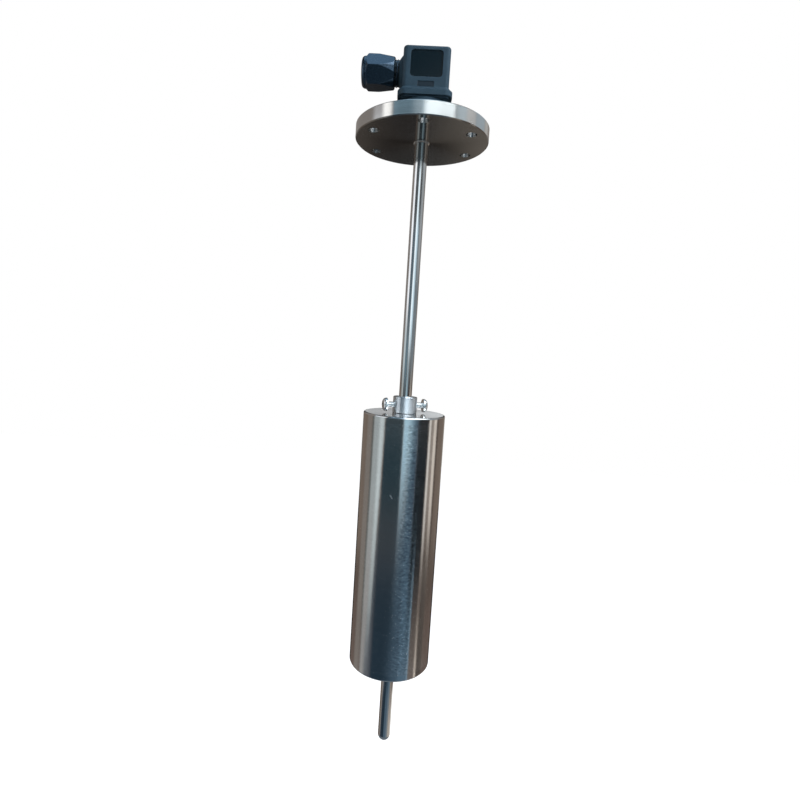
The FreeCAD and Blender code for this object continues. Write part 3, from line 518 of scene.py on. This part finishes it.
@dataclass(frozen=True)
class MouldedFinish:
    """Moulded plastic or rubber with the fine grain of its mould, which the eye reads as a satin sheen.

    The colour is mottled in patches mottle_grains times as wide as the grain, and edge_mm rounds the edges.
    """

    name: str
    light: str
    dark: str
    roughness: float
    grain_mm: float
    grain_depth_mm: float
    mottle_grains: float = 25.0
    spread: float = 0.06
    specular: float = 0.5
    painted_sky_tint: str = "#ffffff"
    panels_and_neck_shade: tuple[Recess, ...] = ()
    edge_mm: float = 0.0
    edge_samples: int = 6

    def material(self) -> bpy.types.Material:
        """Builds the material: a mottled colour, and a fine grain that is left out in the smooth sunk areas
        and on the neck, whose darker colour is painted shade.

        Returns:
            The material.
        """
        made, tree, shader = new_material(self.name)
        place = add_node(tree, "ShaderNodeTexCoord").outputs["Object"]
        grain = add_node(tree, NOISE, {}, {
            "Vector": place, "Scale": 1.0 / (self.grain_mm * MM),
            "Detail": 3.0, "Roughness": 0.6}).outputs["Fac"]
        cloud = add_node(tree, NOISE, {}, {
            "Vector": place, "Scale": 1.0 / (self.mottle_grains * self.grain_mm * MM),
            "Detail": 2.0}).outputs["Fac"]
        mottle = add_node(tree, RANGE, {}, {"Value": cloud, **NOISE_SPAN}).outputs[0]
        tint = add_node(tree, MIX, {"data_type": "RGBA"}, {
            0: mottle, 6: linear(self.dark), 7: linear(self.light)}).outputs[2]
        rough = add_node(tree, RANGE, {}, {
            "Value": grain, **NOISE_SPAN,
            "To Min": self.roughness - self.spread, "To Max": self.roughness + self.spread}).outputs[0]
        for panel in self.panels_and_neck_shade:
            inside = panel.mask(tree, place)
            tint, rough = lay_over(tree, inside, tint, rough, panel.colour, panel.roughness)
            grain = add_node(tree, MIX, {}, {0: inside, 2: grain, 3: NOISE_MIDDLE}).outputs[0]
        bump = add_node(tree, "ShaderNodeBump", {}, {
            "Strength": 1.0, "Distance": self.grain_depth_mm * MM, "Height": grain})
        if self.edge_mm:
            soft = add_node(tree, "ShaderNodeBevel", {"samples": self.edge_samples}, {
                "Radius": self.edge_mm * MM})
            tree.links.new(soft.outputs[0], bump.inputs["Normal"])
        shader.inputs["Specular IOR Level"].default_value = self.specular
        # A tint on the specular paints the colour of the sky into the glints, a painted reflection
        shader.inputs["Specular Tint"].default_value = linear(self.painted_sky_tint)
        tree.links.new(tint, shader.inputs["Base Color"])
        tree.links.new(rough, shader.inputs["Roughness"])
        tree.links.new(bump.outputs[0], shader.inputs["Normal"])
        return made


@dataclass(frozen=True)
class Finishes:
    """Every finish of the sensor."""

    # Turned disc: fine rings draw the rim's reflections upright, and the faces and holes are duller, with a
    # darker colour that is painted shade
    flange: SteelFinish = SteelFinish(
        "stainless_steel_turned", "#d1d0ce", "#c9c8c6", 0.14, 1.0, Lay.AROUND, 0.6, 0.0006, spread=0.02,
        # Darker colours of the faces and of the hole walls: painted shade for the dim underside and the
        # insides of the holes
        facing=Facing("#8a8987", 0.14, "#aeadab", 0.35, 38.0),
        scratch=Scratch((26.2, -30.2, 0.2), (27.8, -28.7, 0.2), 0.9))
    # Drawn and polished tube: a clear mirror, with faint lines along it
    stem: SteelFinish = SteelFinish(
        "stainless_tube_drawn_polished", "#d3d2d0", "#cbcac8", 0.11, 0.6, Lay.ALONG, 0.5, 0.0012,
        run_mm=60.0, spread=0.02)
    # Finely ground shell: short marks fray the bands that it mirrors, most in a streak that was rubbed
    floats: SteelFinish = SteelFinish(
        "stainless_steel_fine_ground", "#d1d0cf", "#c9c8c7", 0.15, 0.8, Lay.AROUND, 0.65, 0.014,
        run_mm=1.5, sway=0.011, rub=Rub(17.0, 10.0, 0.45),
        scratch=Scratch((-5.5, -24.9, -210.5), (-4.2, -25.15, -212.3), 0.5))
    # Bright turned caps: a mirror that is a little drawn out round the axis
    caps: SteelFinish = SteelFinish(
        "stainless_cap_turned_bright", "#d4d3d2", "#cbcac9", 0.13, 0.4, Lay.AROUND, 0.5, 0.0015, spread=0.02)
    # Collar as it comes off the lathe: a pale, soft sheen in upright bands
    collar: SteelFinish = SteelFinish(
        "stainless_collar_turned", "#e6eaed", "#dadfe3", 0.45, 0.85, Lay.AROUND, 0.4, 0.002)
    # Tumbled screws: pale, even and softly bright
    screws: SteelFinish = SteelFinish(
        "stainless_screw_tumbled", "#eceeee", "#e0e2e2", 0.28, 0.0, Lay.CROSSWISE, 0.4, 0.0006,
        axis_mm=(0.0, 0.0, COLLAR_LEVEL))
    # Weld as it cooled: straw coloured in blotches, with small glints on its ripples
    weld: SteelFinish = SteelFinish(
        "stainless_weld_bead", "#cfc9c3", "#aba29a", 0.18, 0.0, Lay.AROUND, 0.5, 0.003, cloud_mm=3.0)
    # Black nylon from a spark grained mould: a blue grey satin skin, which is smoother and darker in the
    # two sunk panels, and smoother and darker on the neck, where the darker colour is painted shade
    housing: MouldedFinish = MouldedFinish(
        "nylon_black_satin_moulded", "#2d404b", "#263843", 0.5, 0.25, 0.012, specular=0.25, edge_mm=0.4,
        panels_and_neck_shade=(Recess((0.0, GLAND_LEVEL), (9.3, 7.5), 13.4, "#03141b"),
                Recess((0.0, 27.9), (4.75, 1.95), 13.55, "#101f28", 0.4),
                # Neck between the housing and the nut: its darker colour is painted shade
                Recess((-24.0, GLAND_LEVEL), (8.1, 10.0), 13.0, "#03141b")))
    # Black nylon from a polished mould: dark, with clear glints on its facets, which a blue tint on the
    # specular paints bluish, a painted sky reflection
    gland: MouldedFinish = MouldedFinish(
        "nylon_black_gloss_moulded", "#111b22", "#0e171d", 0.24, 0.3, 0.0004, specular=1.0,
        painted_sky_tint="#b9dcff", edge_mm=0.5)
    # Moulded rubber: black and matt
    rubber: MouldedFinish = MouldedFinish(
        "nitrile_rubber_black_moulded", "#1d1e1f", "#151617", 0.65, 0.3, 0.01, specular=0.3)
    # Lacquered circuit board: green with a soft shine
    laminate: MouldedFinish = MouldedFinish(
        "glass_fibre_laminate_lacquered", "#3f7a4c", "#35683f", 0.45, 0.2, 0.004)
    # Extruded sleeve: plain red with a soft shine
    sleeve: MouldedFinish = MouldedFinish("pvc_red_extruded", "#9a2f26", "#85251d", 0.5, 0.3, 0.003)
    # Sintered ferrite: dark grey and dry, like stone
    ferrite: MouldedFinish = MouldedFinish("ferrite_sintered", "#3b3a3a", "#2e2d2d", 0.7, 0.2, 0.01)
    # Drawn glass over pale contacts: smooth and glossy
    glass: MouldedFinish = MouldedFinish("reed_glass_drawn", "#c9d8d2", "#bccbc6", 0.12, 1.0, 0.0005)
    # Stamped brass: yellow and softly bright, with fine lines
    brass: SteelFinish = SteelFinish(
        "brass_bare_stamped", "#d3b069", "#bf9a54", 0.3, 0.0, Lay.ALONG, 0.3, 0.003)


@dataclass(frozen=True)
class Thread:
    """The ridge of a screw thread along X, in millimetres and degrees.

    Its axis lies at the height level. The thread starts at start and is length long, towards minus X if that
    is negative. Root is the radius of its foot, and the tooth is height high. Yaw turns it about the stem.
    """

    name: str
    level: float
    start: float
    length: float
    pitch: float
    root: float
    height: float
    yaw: float = 0.0
    per_turn: int = 64
    run_out: float = 0.33
    sunk: float = 0.2
    # Rounded triangle, as shares of the pitch along the axis and of the height away from it
    tooth: tuple[tuple[float, float], ...] = (
        (-0.45, -0.3), (-0.3, 0.3), (-0.1, 0.95), (0.0, 1.0), (0.1, 0.95), (0.3, 0.3), (0.45, -0.3))

    def ridge(self) -> bpy.types.Object:
        """Makes the ridge: a closed tooth carried along a helix.

        The tooth's middle is at start + pitch times the turn, and its foot at radius root. It rises out of
        the shank over the first run_out of a turn, from a radius of root less sunk times height, and sinks
        into it again over the last. A ridge towards plus X has its outline turned round, which keeps its
        normals outwards.

        Returns:
            The object.
        """
        turns = abs(self.length) / self.pitch
        turn = np.linspace(0.0, turns, int(turns * self.per_turn) + 1)[:, None]
        along_share, out_share = np.array(self.tooth).T[:, None, :]
        rise = smooth_step(0.0, self.run_out, turn) * smooth_step(0.0, self.run_out, turns - turn)
        radius = self.root + self.height * (out_share * rise - self.sunk * (1.0 - rise))
        along = self.start + math.copysign(1.0, self.length) * self.pitch * (turn + along_share)
        angle = 2.0 * math.pi * turn
        points = np.stack([along, radius * np.cos(angle), radius * np.sin(angle) + self.level], -1)
        points = points @ np.array(Matrix.Rotation(math.radians(self.yaw), 3, "Z")).T
        if self.length > 0:
            points = points[:, ::-1]
        return grid_object(self.name, points * MM, (False, True), capped=True)


@dataclass
class SubAssembly:
    """A group of pieces that is built and dressed together."""

    frame: dict
    finishes: Finishes
    screw_steel: bpy.types.Material

    def dress(self, material: bpy.types.Material, *nodes: str) -> None:
        """Gives CAD nodes their material.

        Args:
            material: The finish.
            nodes: Names of CAD nodes.
        """
        for name in nodes:
            slots = self.frame["nodes"][name].data.materials
            slots.clear()
            slots.append(material)
            LOG.info("dressed %s in %s", name, material.name)

    def place(self, piece: bpy.types.Object, material: bpy.types.Material, body: str, slot: str) -> None:
        """Gives a new piece its material and its body.

        Args:
            piece: The new object.
            material: The finish.
            body: CAD body that carries it.
            slot: Not used.
        """
        piece.data.materials.append(material)
        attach(piece, body)
        LOG.info("made %s on %s, %d faces", piece.name, body, len(piece.data.polygons))


@dataclass
class FlangeSet(SubAssembly):
    """Round flange with the weld bead round the stem."""

    stem_radius: float = 4.0
    bead_leg: float = 1.05
    bead_sunk: float = 0.1
    bead_share: float = 0.86
    ripples: int = 34
    ripple: float = 0.12
    ripple_lag: float = 0.12
    ripple_steps: int = 12
    section_steps: int = 13

    def weld_bead(self) -> bpy.types.Object:
        """Makes the weld bead.

        A quarter round from the stem's side to the flange's underside is carried round the stem, and closed
        at the corner, which is sunk into both. Its radius is
        leg (share + ripple cos(ripples (around + lag)) sin(2 across)), and the lag grows with the square of
        the way from the bead's middle, which bends the ripples to the scales of a hand weld. The section runs
        from the flange's side to the stem's, which keeps its normals outwards.

        Returns:
            The object.
        """
        around = np.linspace(0.0, 2.0 * math.pi, self.ripple_steps * self.ripples, endpoint=False)[:, None]
        across = np.linspace(0.0, math.pi / 2, self.section_steps)[None, :]
        lag = self.ripple_lag * (2.0 * across / (math.pi / 2) - 1.0) ** 2
        wave = self.ripple * np.cos(self.ripples * (around + lag)) * np.sin(2.0 * across)
        bulge = self.bead_leg * (self.bead_share + wave)
        corner = np.full((len(around), 1), self.stem_radius - self.bead_sunk)
        radius = np.concatenate([corner + bulge * np.sin(across), corner], 1)
        top = np.full_like(corner, self.bead_sunk)
        level = np.concatenate([top - bulge * np.cos(across), top], 1)
        points = np.stack([radius * np.cos(around), radius * np.sin(around), level], -1) * MM
        return grid_object("weld_bead", points[:, ::-1], (True, True))

    def build(self) -> None:
        """Dresses the flange and adds the bead."""
        self.dress(self.finishes.flange.material(), "flange")
        self.place(self.weld_bead(), self.finishes.weld.material(), SENSOR, "flange_steel")


@dataclass
class StemSet(SubAssembly):
    """Stem tube with its end plug, retaining ring and what is inside it."""

    def build(self) -> None:
        """Dresses the stem and the pieces inside it."""
        self.dress(self.finishes.stem.material(), "stem_tube", "stem_end_plug")
        self.dress(self.screw_steel, "retaining_ring")
        self.dress(self.finishes.laminate.material(), "reed_board")
        self.dress(self.finishes.glass.material(), "reed_switch")
        self.dress(self.finishes.sleeve.material(), "signal_wires")


@dataclass
class FloatSet(SubAssembly):
    """Float with its caps, guide tube and magnet."""

    def build(self) -> None:
        """Dresses the float."""
        self.dress(self.finishes.floats.material(), "float_shell")
        self.dress(self.finishes.caps.material(), "float_top_cap", "float_bottom_cap", "float_guide_tube")
        self.dress(self.finishes.ferrite.material(), "float_magnet")
        self.dress(self.screw_steel, "magnet_clips")


@dataclass
class CollarSet(SubAssembly):
    """Stop collar with its two screws."""

    level: float = COLLAR_LEVEL
    yaw: float = 15.0
    shank_start: float = 7.4
    shank_length: float = 4.1
    shank_radius: float = 1.75
    pitch: float = 0.7
    tooth: float = 0.12

    def build(self) -> None:
        """Dresses the collar and its screws, and adds the threads of the bare shanks."""
        self.dress(self.finishes.collar.material(), "stop_collar")
        self.dress(self.screw_steel, "collar_screws")
        for side, sign in (("left", -1.0), ("right", 1.0)):
            thread = Thread(f"collar_screw_thread_{side}", self.level, sign * self.shank_start,
                            sign * self.shank_length, self.pitch, self.shank_radius, self.tooth, self.yaw)
            self.place(thread.ridge(), self.screw_steel, SENSOR, "screw_steel")


@dataclass
class PlugSet(SubAssembly):
    """Angled cable plug with its base, gland and inner pieces."""

    level: float = GLAND_LEVEL
    neck_start: float = -16.4
    neck_length: float = -1.8
    neck_radius: float = 7.1
    pitch: float = 1.2
    tooth: float = 0.35
    thread_steps: int = 96

    def build(self) -> None:
        """Dresses the plug and adds the thread that shows between the housing and the nut."""
        gland = self.finishes.gland.material()
        self.dress(self.finishes.housing.material(), "plug_housing", "plug_base", "terminal_insert")
        self.dress(gland, "gland_nut", "gland_washer")
        self.dress(self.finishes.rubber.material(),
                   "foot_seal", "profile_gasket", "screw_washer", "gland_seal")
        self.dress(self.finishes.brass.material(), "base_blades", "centre_nut", "terminal_contacts")
        self.dress(self.screw_steel, "base_screws", "terminal_screws", "centre_screw")
        thread = Thread("gland_neck_thread", self.level, self.neck_start, self.neck_length, self.pitch,
                        self.neck_radius, self.tooth, per_turn=self.thread_steps)
        self.place(thread.ridge(), gland, SENSOR, "plug_nylon")


@dataclass(frozen=True)
class Card:
    """A light or dark card in the studio tent.

    Its sides and their blur are in degrees round the tent, and its ends and theirs in metres up it. The right
    side leans by lean degrees a metre and fades out over fade degrees more.
    """

    left: float
    right: float
    low: float
    high: float
    colour: str
    strength: float = 1.0
    side_blur: float = 2.0
    end_blur: float = 0.03
    lean: float = 0.0
    fade: float = 0.0

    def cover(self, angle: np.ndarray, level: np.ndarray) -> np.ndarray:
        """Gives how much of the tent the card covers, as the product of a smooth step at each edge.

        Args:
            angle: Degrees round the tent, 0 towards the camera and more to its right.
            level: Metres up the tent.

        Returns:
            The cover, from 0 to 1, in the shape of the two arrays together.
        """
        right = self.right + self.lean * (level - self.high)
        right_blur = self.side_blur + self.fade
        return (smooth_step(self.left - self.side_blur, self.left + self.side_blur, angle)
                * (1.0 - smooth_step(right - right_blur, right + right_blur, angle))
                * smooth_step(self.low - self.end_blur, self.low + self.end_blur, level)
                * (1.0 - smooth_step(self.high - self.end_blur, self.high + self.end_blur, level)))


# The room that the steel mirrors, from the back to the front: a later card covers an earlier one
CARDS: tuple[Card, ...] = (
    # Room round the object: warm and dim low down, grey above, a cool bright ceiling
    Card(-200, 200, -1.7, -0.5, "#73655e", end_blur=0.12),
    Card(-200, 200, -0.5, -0.17, "#83766c", end_blur=0.05),
    Card(-200, 200, -0.17, 0.45, "#958f8b", end_blur=0.05),
    Card(-200, 200, 0.42, 1.1, "#aed6f4", 1.5),
    Card(-200, -15, 0.46, 0.82, "#3a3633", side_blur=12),
    Card(110, 200, 0.46, 0.82, "#3a3633", side_blur=12),
    Card(5, 100, 0.44, 0.85, "#eef6fc", 7, side_blur=8),
    Card(-200, 200, -1.7, -0.98, "#75818b", end_blur=0.02),
    # Dim back wall with a pale strip, which the faces of the flange and of the float mirror
    Card(150, 200, -1.0, -0.38, "#2a2523", side_blur=8, end_blur=0.06),
    Card(-200, -150, -1.0, -0.38, "#2a2523", side_blur=8, end_blur=0.06),
    Card(150, 200, -0.16, 0.2, "#2b2827", side_blur=8),
    Card(-200, -150, -0.16, 0.2, "#2b2827", side_blur=8),
    Card(150, 200, -0.38, -0.14, "#9d958c", side_blur=6),
    Card(-200, -150, -0.38, -0.14, "#776f68", side_blur=6),
    Card(176, 200, -0.4, -0.15, "#5a5552", side_blur=5),
    Card(-200, -172, -0.4, -0.15, "#4e4a48", side_blur=5),
    Card(172, 200, -0.235, -0.13, "#181514", side_blur=5, end_blur=0.025),
    Card(-200, -173, -0.235, -0.13, "#1d1a18", side_blur=4, end_blur=0.025),
    Card(171, 200, -0.115, -0.07, "#dfe3e6", 1.15, end_blur=0.015),
    Card(-200, -171, -0.115, -0.07, "#cfd2d4", end_blur=0.015),
    # Window on the left, brighter above, with a frame that leans
    Card(-118, -95, -0.9, -0.19, "#8f8882", side_blur=6),
    Card(-95, -88, -0.6, -0.2, "#6d716f"),
    Card(-86, -50, -1.0, -0.42, "#646b72", side_blur=5, end_blur=0.1),
    Card(-88, -52, -1.0, -0.19, "#b6c0c2", side_blur=3, lean=24),
    Card(-89, -72, -1.0, -0.44, "#afaead", side_blur=5, end_blur=0.1),
    Card(-68, -52, -0.46, -0.19, "#e4f0f3", side_blur=5, end_blur=0.12, lean=28),
    Card(-75, -50, -1.0, -0.61, "#6e7279", side_blur=7, end_blur=0.06),
    Card(-86, -51, -0.18, -0.07, "#d5e6ee", side_blur=6),
    Card(-86, -51, -0.07, 0.21, "#f2f7ff", 1.6, side_blur=6, end_blur=0.04),
    Card(-69, -52, 0.19, 0.45, "#fdfdfb", 1.75, side_blur=5),
    # Dark front, where nothing is lit
    Card(-51, 0, -0.45, -0.19, "#2a404a", end_blur=0.1),
    Card(-54, 22, -1.0, -0.45, "#2a3c4a", side_blur=8, end_blur=0.1),
    Card(-48, -6, -0.19, -0.09, "#748d9b", side_blur=5),
    Card(-48, -6, -0.09, 0.09, "#687a87", side_blur=5),
    Card(-48, -6, 0.09, 0.2, "#5a6167", side_blur=5),
    Card(-50, -8, 0.2, 0.45, "#89aabd", 1.3, side_blur=4),
    # Window to the right of the middle, with what stands beside and above it
    Card(22, 46, -0.12, 0.1, "#cbe6f6", 1.2, side_blur=4),
    Card(46, 115, -0.17, 0.2, "#87929a", side_blur=6),
    Card(66, 112, 0.0, 0.2, "#b2b8bd", side_blur=6),
    Card(33, 58, 0.1, 0.2, "#565b60", side_blur=4),
    Card(-2, 24, -0.12, 0.45, "#e2f4ff", 1.7, side_blur=5, end_blur=0.05),
    Card(-16, 4, 0.2, 0.45, "#c6deec", 1.3, side_blur=8),
    Card(2, 52, 0.2, 0.45, "#effaff", 2.6, side_blur=6),
    Card(53, 75, 0.2, 0.45, "#c2d3dd", side_blur=3),
    Card(75, 96, 0.2, 0.45, "#d6d6d6", side_blur=3),
    Card(96, 125, 0.2, 0.45, "#b3c1cb", side_blur=3),
    Card(126, 142, 0.2, 0.45, "#c4c3c1", side_blur=3),
    Card(-60, 60, 0.3, 0.46, "#2c3e4a", side_blur=8, end_blur=0.02),
    # Dim crossbar of that window, which only the upper end of the stem mirrors clearly
    Card(-42, 56, 0.184, 0.214, "#373c41", side_blur=6, end_blur=0.009),
    # Light of that window on what stands below it
    Card(3, 30, -1.0, -0.4, "#465c6e", side_blur=14, end_blur=0.06),
    Card(18, 45, -1.0, -0.19, "#4c6274", side_blur=6, fade=4),
    Card(1, 29, -0.38, -0.17, "#b8e0f4", 1.15, side_blur=2.5, end_blur=0.09, lean=75, fade=14),
    Card(26, 55, -1.0, -0.52, "#5b778c", side_blur=5, end_blur=0.08),
    # Dark cupboard on the right
    Card(41, 74, -0.56, -0.19, "#20282e", side_blur=4, end_blur=0.08),
    Card(56, 76, -1.0, -0.60, "#776f6a", side_blur=3, end_blur=0.06),
    Card(52, 55, -1.0, -0.5, "#8fb2c9", side_blur=1.5, end_blur=0.08),
    Card(45, 115, -1.0, -0.76, "#b8b2ac", side_blur=6, end_blur=0.05),
    # Bright table edge and dim front that only the lower end of the stem mirrors
    Card(108, 174, -1.0, -0.74, "#f0ebe4", side_blur=10, end_blur=0.02),
    Card(-80, -48, -1.0, -0.74, "#333f4c", side_blur=8, end_blur=0.02),
    Card(-14, 32, -1.0, -0.74, "#5b7184", side_blur=8, end_blur=0.02),
    Card(30, 58, -1.0, -0.74, "#808e9a", side_blur=10, end_blur=0.02),
    # Two narrow bright frames on the right, with dim gaps
    Card(74.5, 81.5, -0.46, -0.19, "#f4efe8", 1.05, side_blur=0.8, end_blur=0.06),
    Card(76, 83, -1.0, -0.62, "#e8ddd0", side_blur=0.8, end_blur=0.05),
    Card(82, 92, -0.42, -0.19, "#a89e95", side_blur=1, end_blur=0.05),
    Card(83, 104, -0.76, -0.46, "#5d5651", side_blur=1, end_blur=0.05),
    Card(92, 104, -0.44, -0.19, "#f1e7dc", side_blur=1, end_blur=0.06),
    Card(104, 113, -0.5, -0.19, "#695e57", side_blur=1.5, end_blur=0.06),
)


@dataclass(frozen=True)
class Lamp:
    """A soft square lamp: its name, its place and side in metres, its power in watts and its colour."""

    name: str
    place: Triple
    power: float
    colour: str
    side: float = 0.9


def seen_or_mirrored(tree: Tree) -> Socket:
    """Gives 1 for rays from the camera and for mirrored or refracted rays, and 0 for the rest.

    Args:
        tree: Node tree of the world or of a material.

    Returns:
        The factor.
    """
    path = add_node(tree, "ShaderNodeLightPath").outputs
    some = add_node(tree, MATH, {"operation": "MAXIMUM"}, {
        0: path["Is Camera Ray"], 1: path["Is Glossy Ray"]}).outputs[0]
    return add_node(tree, MATH, {"operation": "MAXIMUM"}, {
        0: some, 1: path["Is Transmission Ray"]}).outputs[0]


@dataclass
class Studio:
    """Camera, lamps, pale floor and a tent of cards that the steel mirrors, in metres."""

    camera_place: Triple = (-0.002875, -0.332518, -0.124643)
    camera_right: Triple = (0.99757, 0.03436, 0.06057)
    camera_down: Triple = (0.06293, -0.07235, -0.99539)
    camera_ahead: Triple = (-0.02982, 0.99679, -0.07433)
    lens_mm: float = 23.965
    film_mm: float = 36.0
    shift: tuple[float, float] = (0.0183, -0.0150)
    nearest: float = 0.01
    tent_radius: float = 0.6
    tent_low: float = -1.0
    tent_high: float = 0.45
    tent_reach: float = 0.98
    tent_rows: int = 270
    tent_columns: int = 721
    floor_level: float = -1.04
    floor_half: float = 4.0
    floor_lines: int = 9
    floor_speck: float = 0.025
    floor_light: str = "#f8f8f7"
    floor_dark: str = "#f4f4f2"
    floor_roughness: float = 0.9
    floor_glow: float = 0.72
    fill: float = 0.36
    fill_colour: str = "#f4f8ff"
    lamp_aim: Triple = (0.0, 0.0, -0.1)
    lamps: tuple[Lamp, ...] = (
        Lamp("window_lamp", (1.1, -0.8, 0.3), 21.0, "#e3f1ff"),
        Lamp("left_lamp", (-1.1, -0.5, 0.35), 2.5, "#f4f9ff"),
        Lamp("back_lamp", (0.3, 1.1, 0.7), 4.0, "#ffffff"))
    cards: tuple[Card, ...] = CARDS

    def camera(self) -> None:
        """Sets the camera where the outline of the photograph puts it."""
        lens = bpy.data.cameras.new("camera")
        lens.lens = self.lens_mm
        lens.sensor_width = self.film_mm
        lens.shift_x, lens.shift_y = self.shift
        lens.clip_start = self.nearest
        eye = bpy.data.objects.new("camera", lens)
        turn = Matrix((self.camera_right, -Vector(self.camera_down), -Vector(self.camera_ahead))).transposed()
        eye.matrix_world = Matrix.Translation(self.camera_place) @ turn.to_4x4()
        bpy.context.scene.collection.objects.link(eye)
        bpy.context.scene.camera = eye

    def light(self, lamp: Lamp) -> None:
        """Adds a lamp that looks at the upper middle of the object and isn't mirrored.

        Args:
            lamp: The lamp.
        """
        light = bpy.data.lights.new(lamp.name, "AREA")
        light.energy = lamp.power
        light.size = lamp.side
        light.color = linear(lamp.colour)[:3]
        made = bpy.data.objects.new(lamp.name, light)
        made.location = lamp.place
        made.rotation_euler = (Vector(self.lamp_aim) - Vector(lamp.place)).to_track_quat("-Z", "Y").to_euler()
        made.visible_glossy = False
        bpy.context.scene.collection.objects.link(made)

    def world(self) -> None:
        """Sets a white surround, and an even soft light on matt surfaces."""
        made = bpy.data.worlds.new("studio")
        made.use_nodes = True
        tree = made.node_tree
        tree.nodes.clear()
        soft = add_node(tree, "ShaderNodeBackground", {}, {
            "Color": linear(self.fill_colour), "Strength": self.fill})
        white = add_node(tree, "ShaderNodeBackground", {}, {"Color": (1, 1, 1, 1), "Strength": 1.0})
        mix = add_node(tree, "ShaderNodeMixShader", {}, {
            0: seen_or_mirrored(tree), 1: soft.outputs[0], 2: white.outputs[0]})
        add_node(tree, "ShaderNodeOutputWorld", {}, {"Surface": mix.outputs[0]})
        # Without this, the soft light would also be mirrored by the steel
        made.cycles.sampling_method = "NONE"
        bpy.context.scene.world = made

    def floor(self) -> None:
        """Lays a pale floor, which keeps the object's shadow and is white to the camera where it is lit."""
        side = np.linspace(-self.floor_half, self.floor_half, self.floor_lines)
        x, y = np.meshgrid(side, side, indexing="ij")
        made = grid_object("floor", np.stack([x, y, np.full_like(x, self.floor_level)], -1), (False, False))
        # Matt paint: an even white with no sheen
        paint, tree, shader = new_material("matt_white_paint")
        place = add_node(tree, "ShaderNodeTexCoord").outputs["Object"]
        speck = add_node(tree, NOISE, {}, {"Vector": place, "Scale": 1.0 / self.floor_speck}).outputs["Fac"]
        tint = add_node(tree, MIX, {"data_type": "RGBA"}, {
            0: speck, 6: linear(self.floor_dark), 7: linear(self.floor_light)}).outputs[2]
        tree.links.new(tint, shader.inputs["Base Color"])
        tree.links.new(seen_or_mirrored(tree), shader.inputs["Emission Strength"])
        shader.inputs["Emission Color"].default_value = (*[self.floor_glow] * 3, 1.0)
        shader.inputs["Roughness"].default_value = self.floor_roughness
        made.data.materials.append(paint)

    def tent(self) -> None:
        """Sets up the tent of cards.

        It is a round wall of tent_radius with a flat ceiling and base. Angle runs along the columns, and the
        way from the middle of the base up the wall to the middle of the ceiling along the rows. A card's low
        and high count on along that way, so what is over tent_high lies on the ceiling. The colour of each
        point is that of the cards in order, each over the ones before it by its own cover.
        """
        reach = self.tent_reach * self.tent_radius
        angle = np.linspace(-180.0, 180.0, self.tent_columns)[None, :]
        way = np.linspace(self.tent_low - reach, self.tent_high + reach, self.tent_rows)[:, None]
        level = np.clip(way, self.tent_low, self.tent_high)
        radius = self.tent_radius - np.abs(way - level)
        glow = np.zeros((way.size, angle.size, 4))
        for card in self.cards:
            cover = card.cover(angle, way)[..., None]
            glow = glow * (1.0 - cover) + np.array(linear(card.colour, card.strength)) * cover
        turn = np.radians(angle)
        wall = np.stack(np.broadcast_arrays(radius * np.sin(turn), -radius * np.cos(turn), level), -1)
        made = grid_object("tent", wall, (False, False))
        made.data.attributes.new("glow", "FLOAT_COLOR", "POINT").data.foreach_set("color", glow.ravel())
        # Lit cards: their own light and nothing else
        paint, tree, _ = new_material("studio_cards")
        tree.nodes.clear()
        colour = add_node(tree, "ShaderNodeAttribute", {"attribute_name": "glow"}).outputs["Color"]
        shine = add_node(tree, "ShaderNodeEmission", {}, {"Color": colour, "Strength": 1.0})
        add_node(tree, "ShaderNodeOutputMaterial", {}, {"Surface": shine.outputs[0]})
        paint.cycles.emission_sampling = "NONE"
        made.data.materials.append(paint)
        made.visible_camera = made.visible_diffuse = made.visible_shadow = False

    def build(self) -> None:
        """Sets up the whole studio."""
        bpy.context.scene.view_settings.view_transform = "Standard"
        self.camera()
        self.world()
        self.floor()
        self.tent()
        for lamp in self.lamps:
            self.light(lamp)


def main() -> None:
    """Loads the frame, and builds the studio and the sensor."""
    logging.basicConfig(level=logging.INFO, format="%(message)s")
    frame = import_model()
    Studio().build()
    finishes = Finishes()
    screw_steel = finishes.screws.material()
    for group in (FlangeSet, StemSet, FloatSet, CollarSet, PlugSet):
        group(frame, finishes, screw_steel).build()


if __name__ == "__main__":
    main()
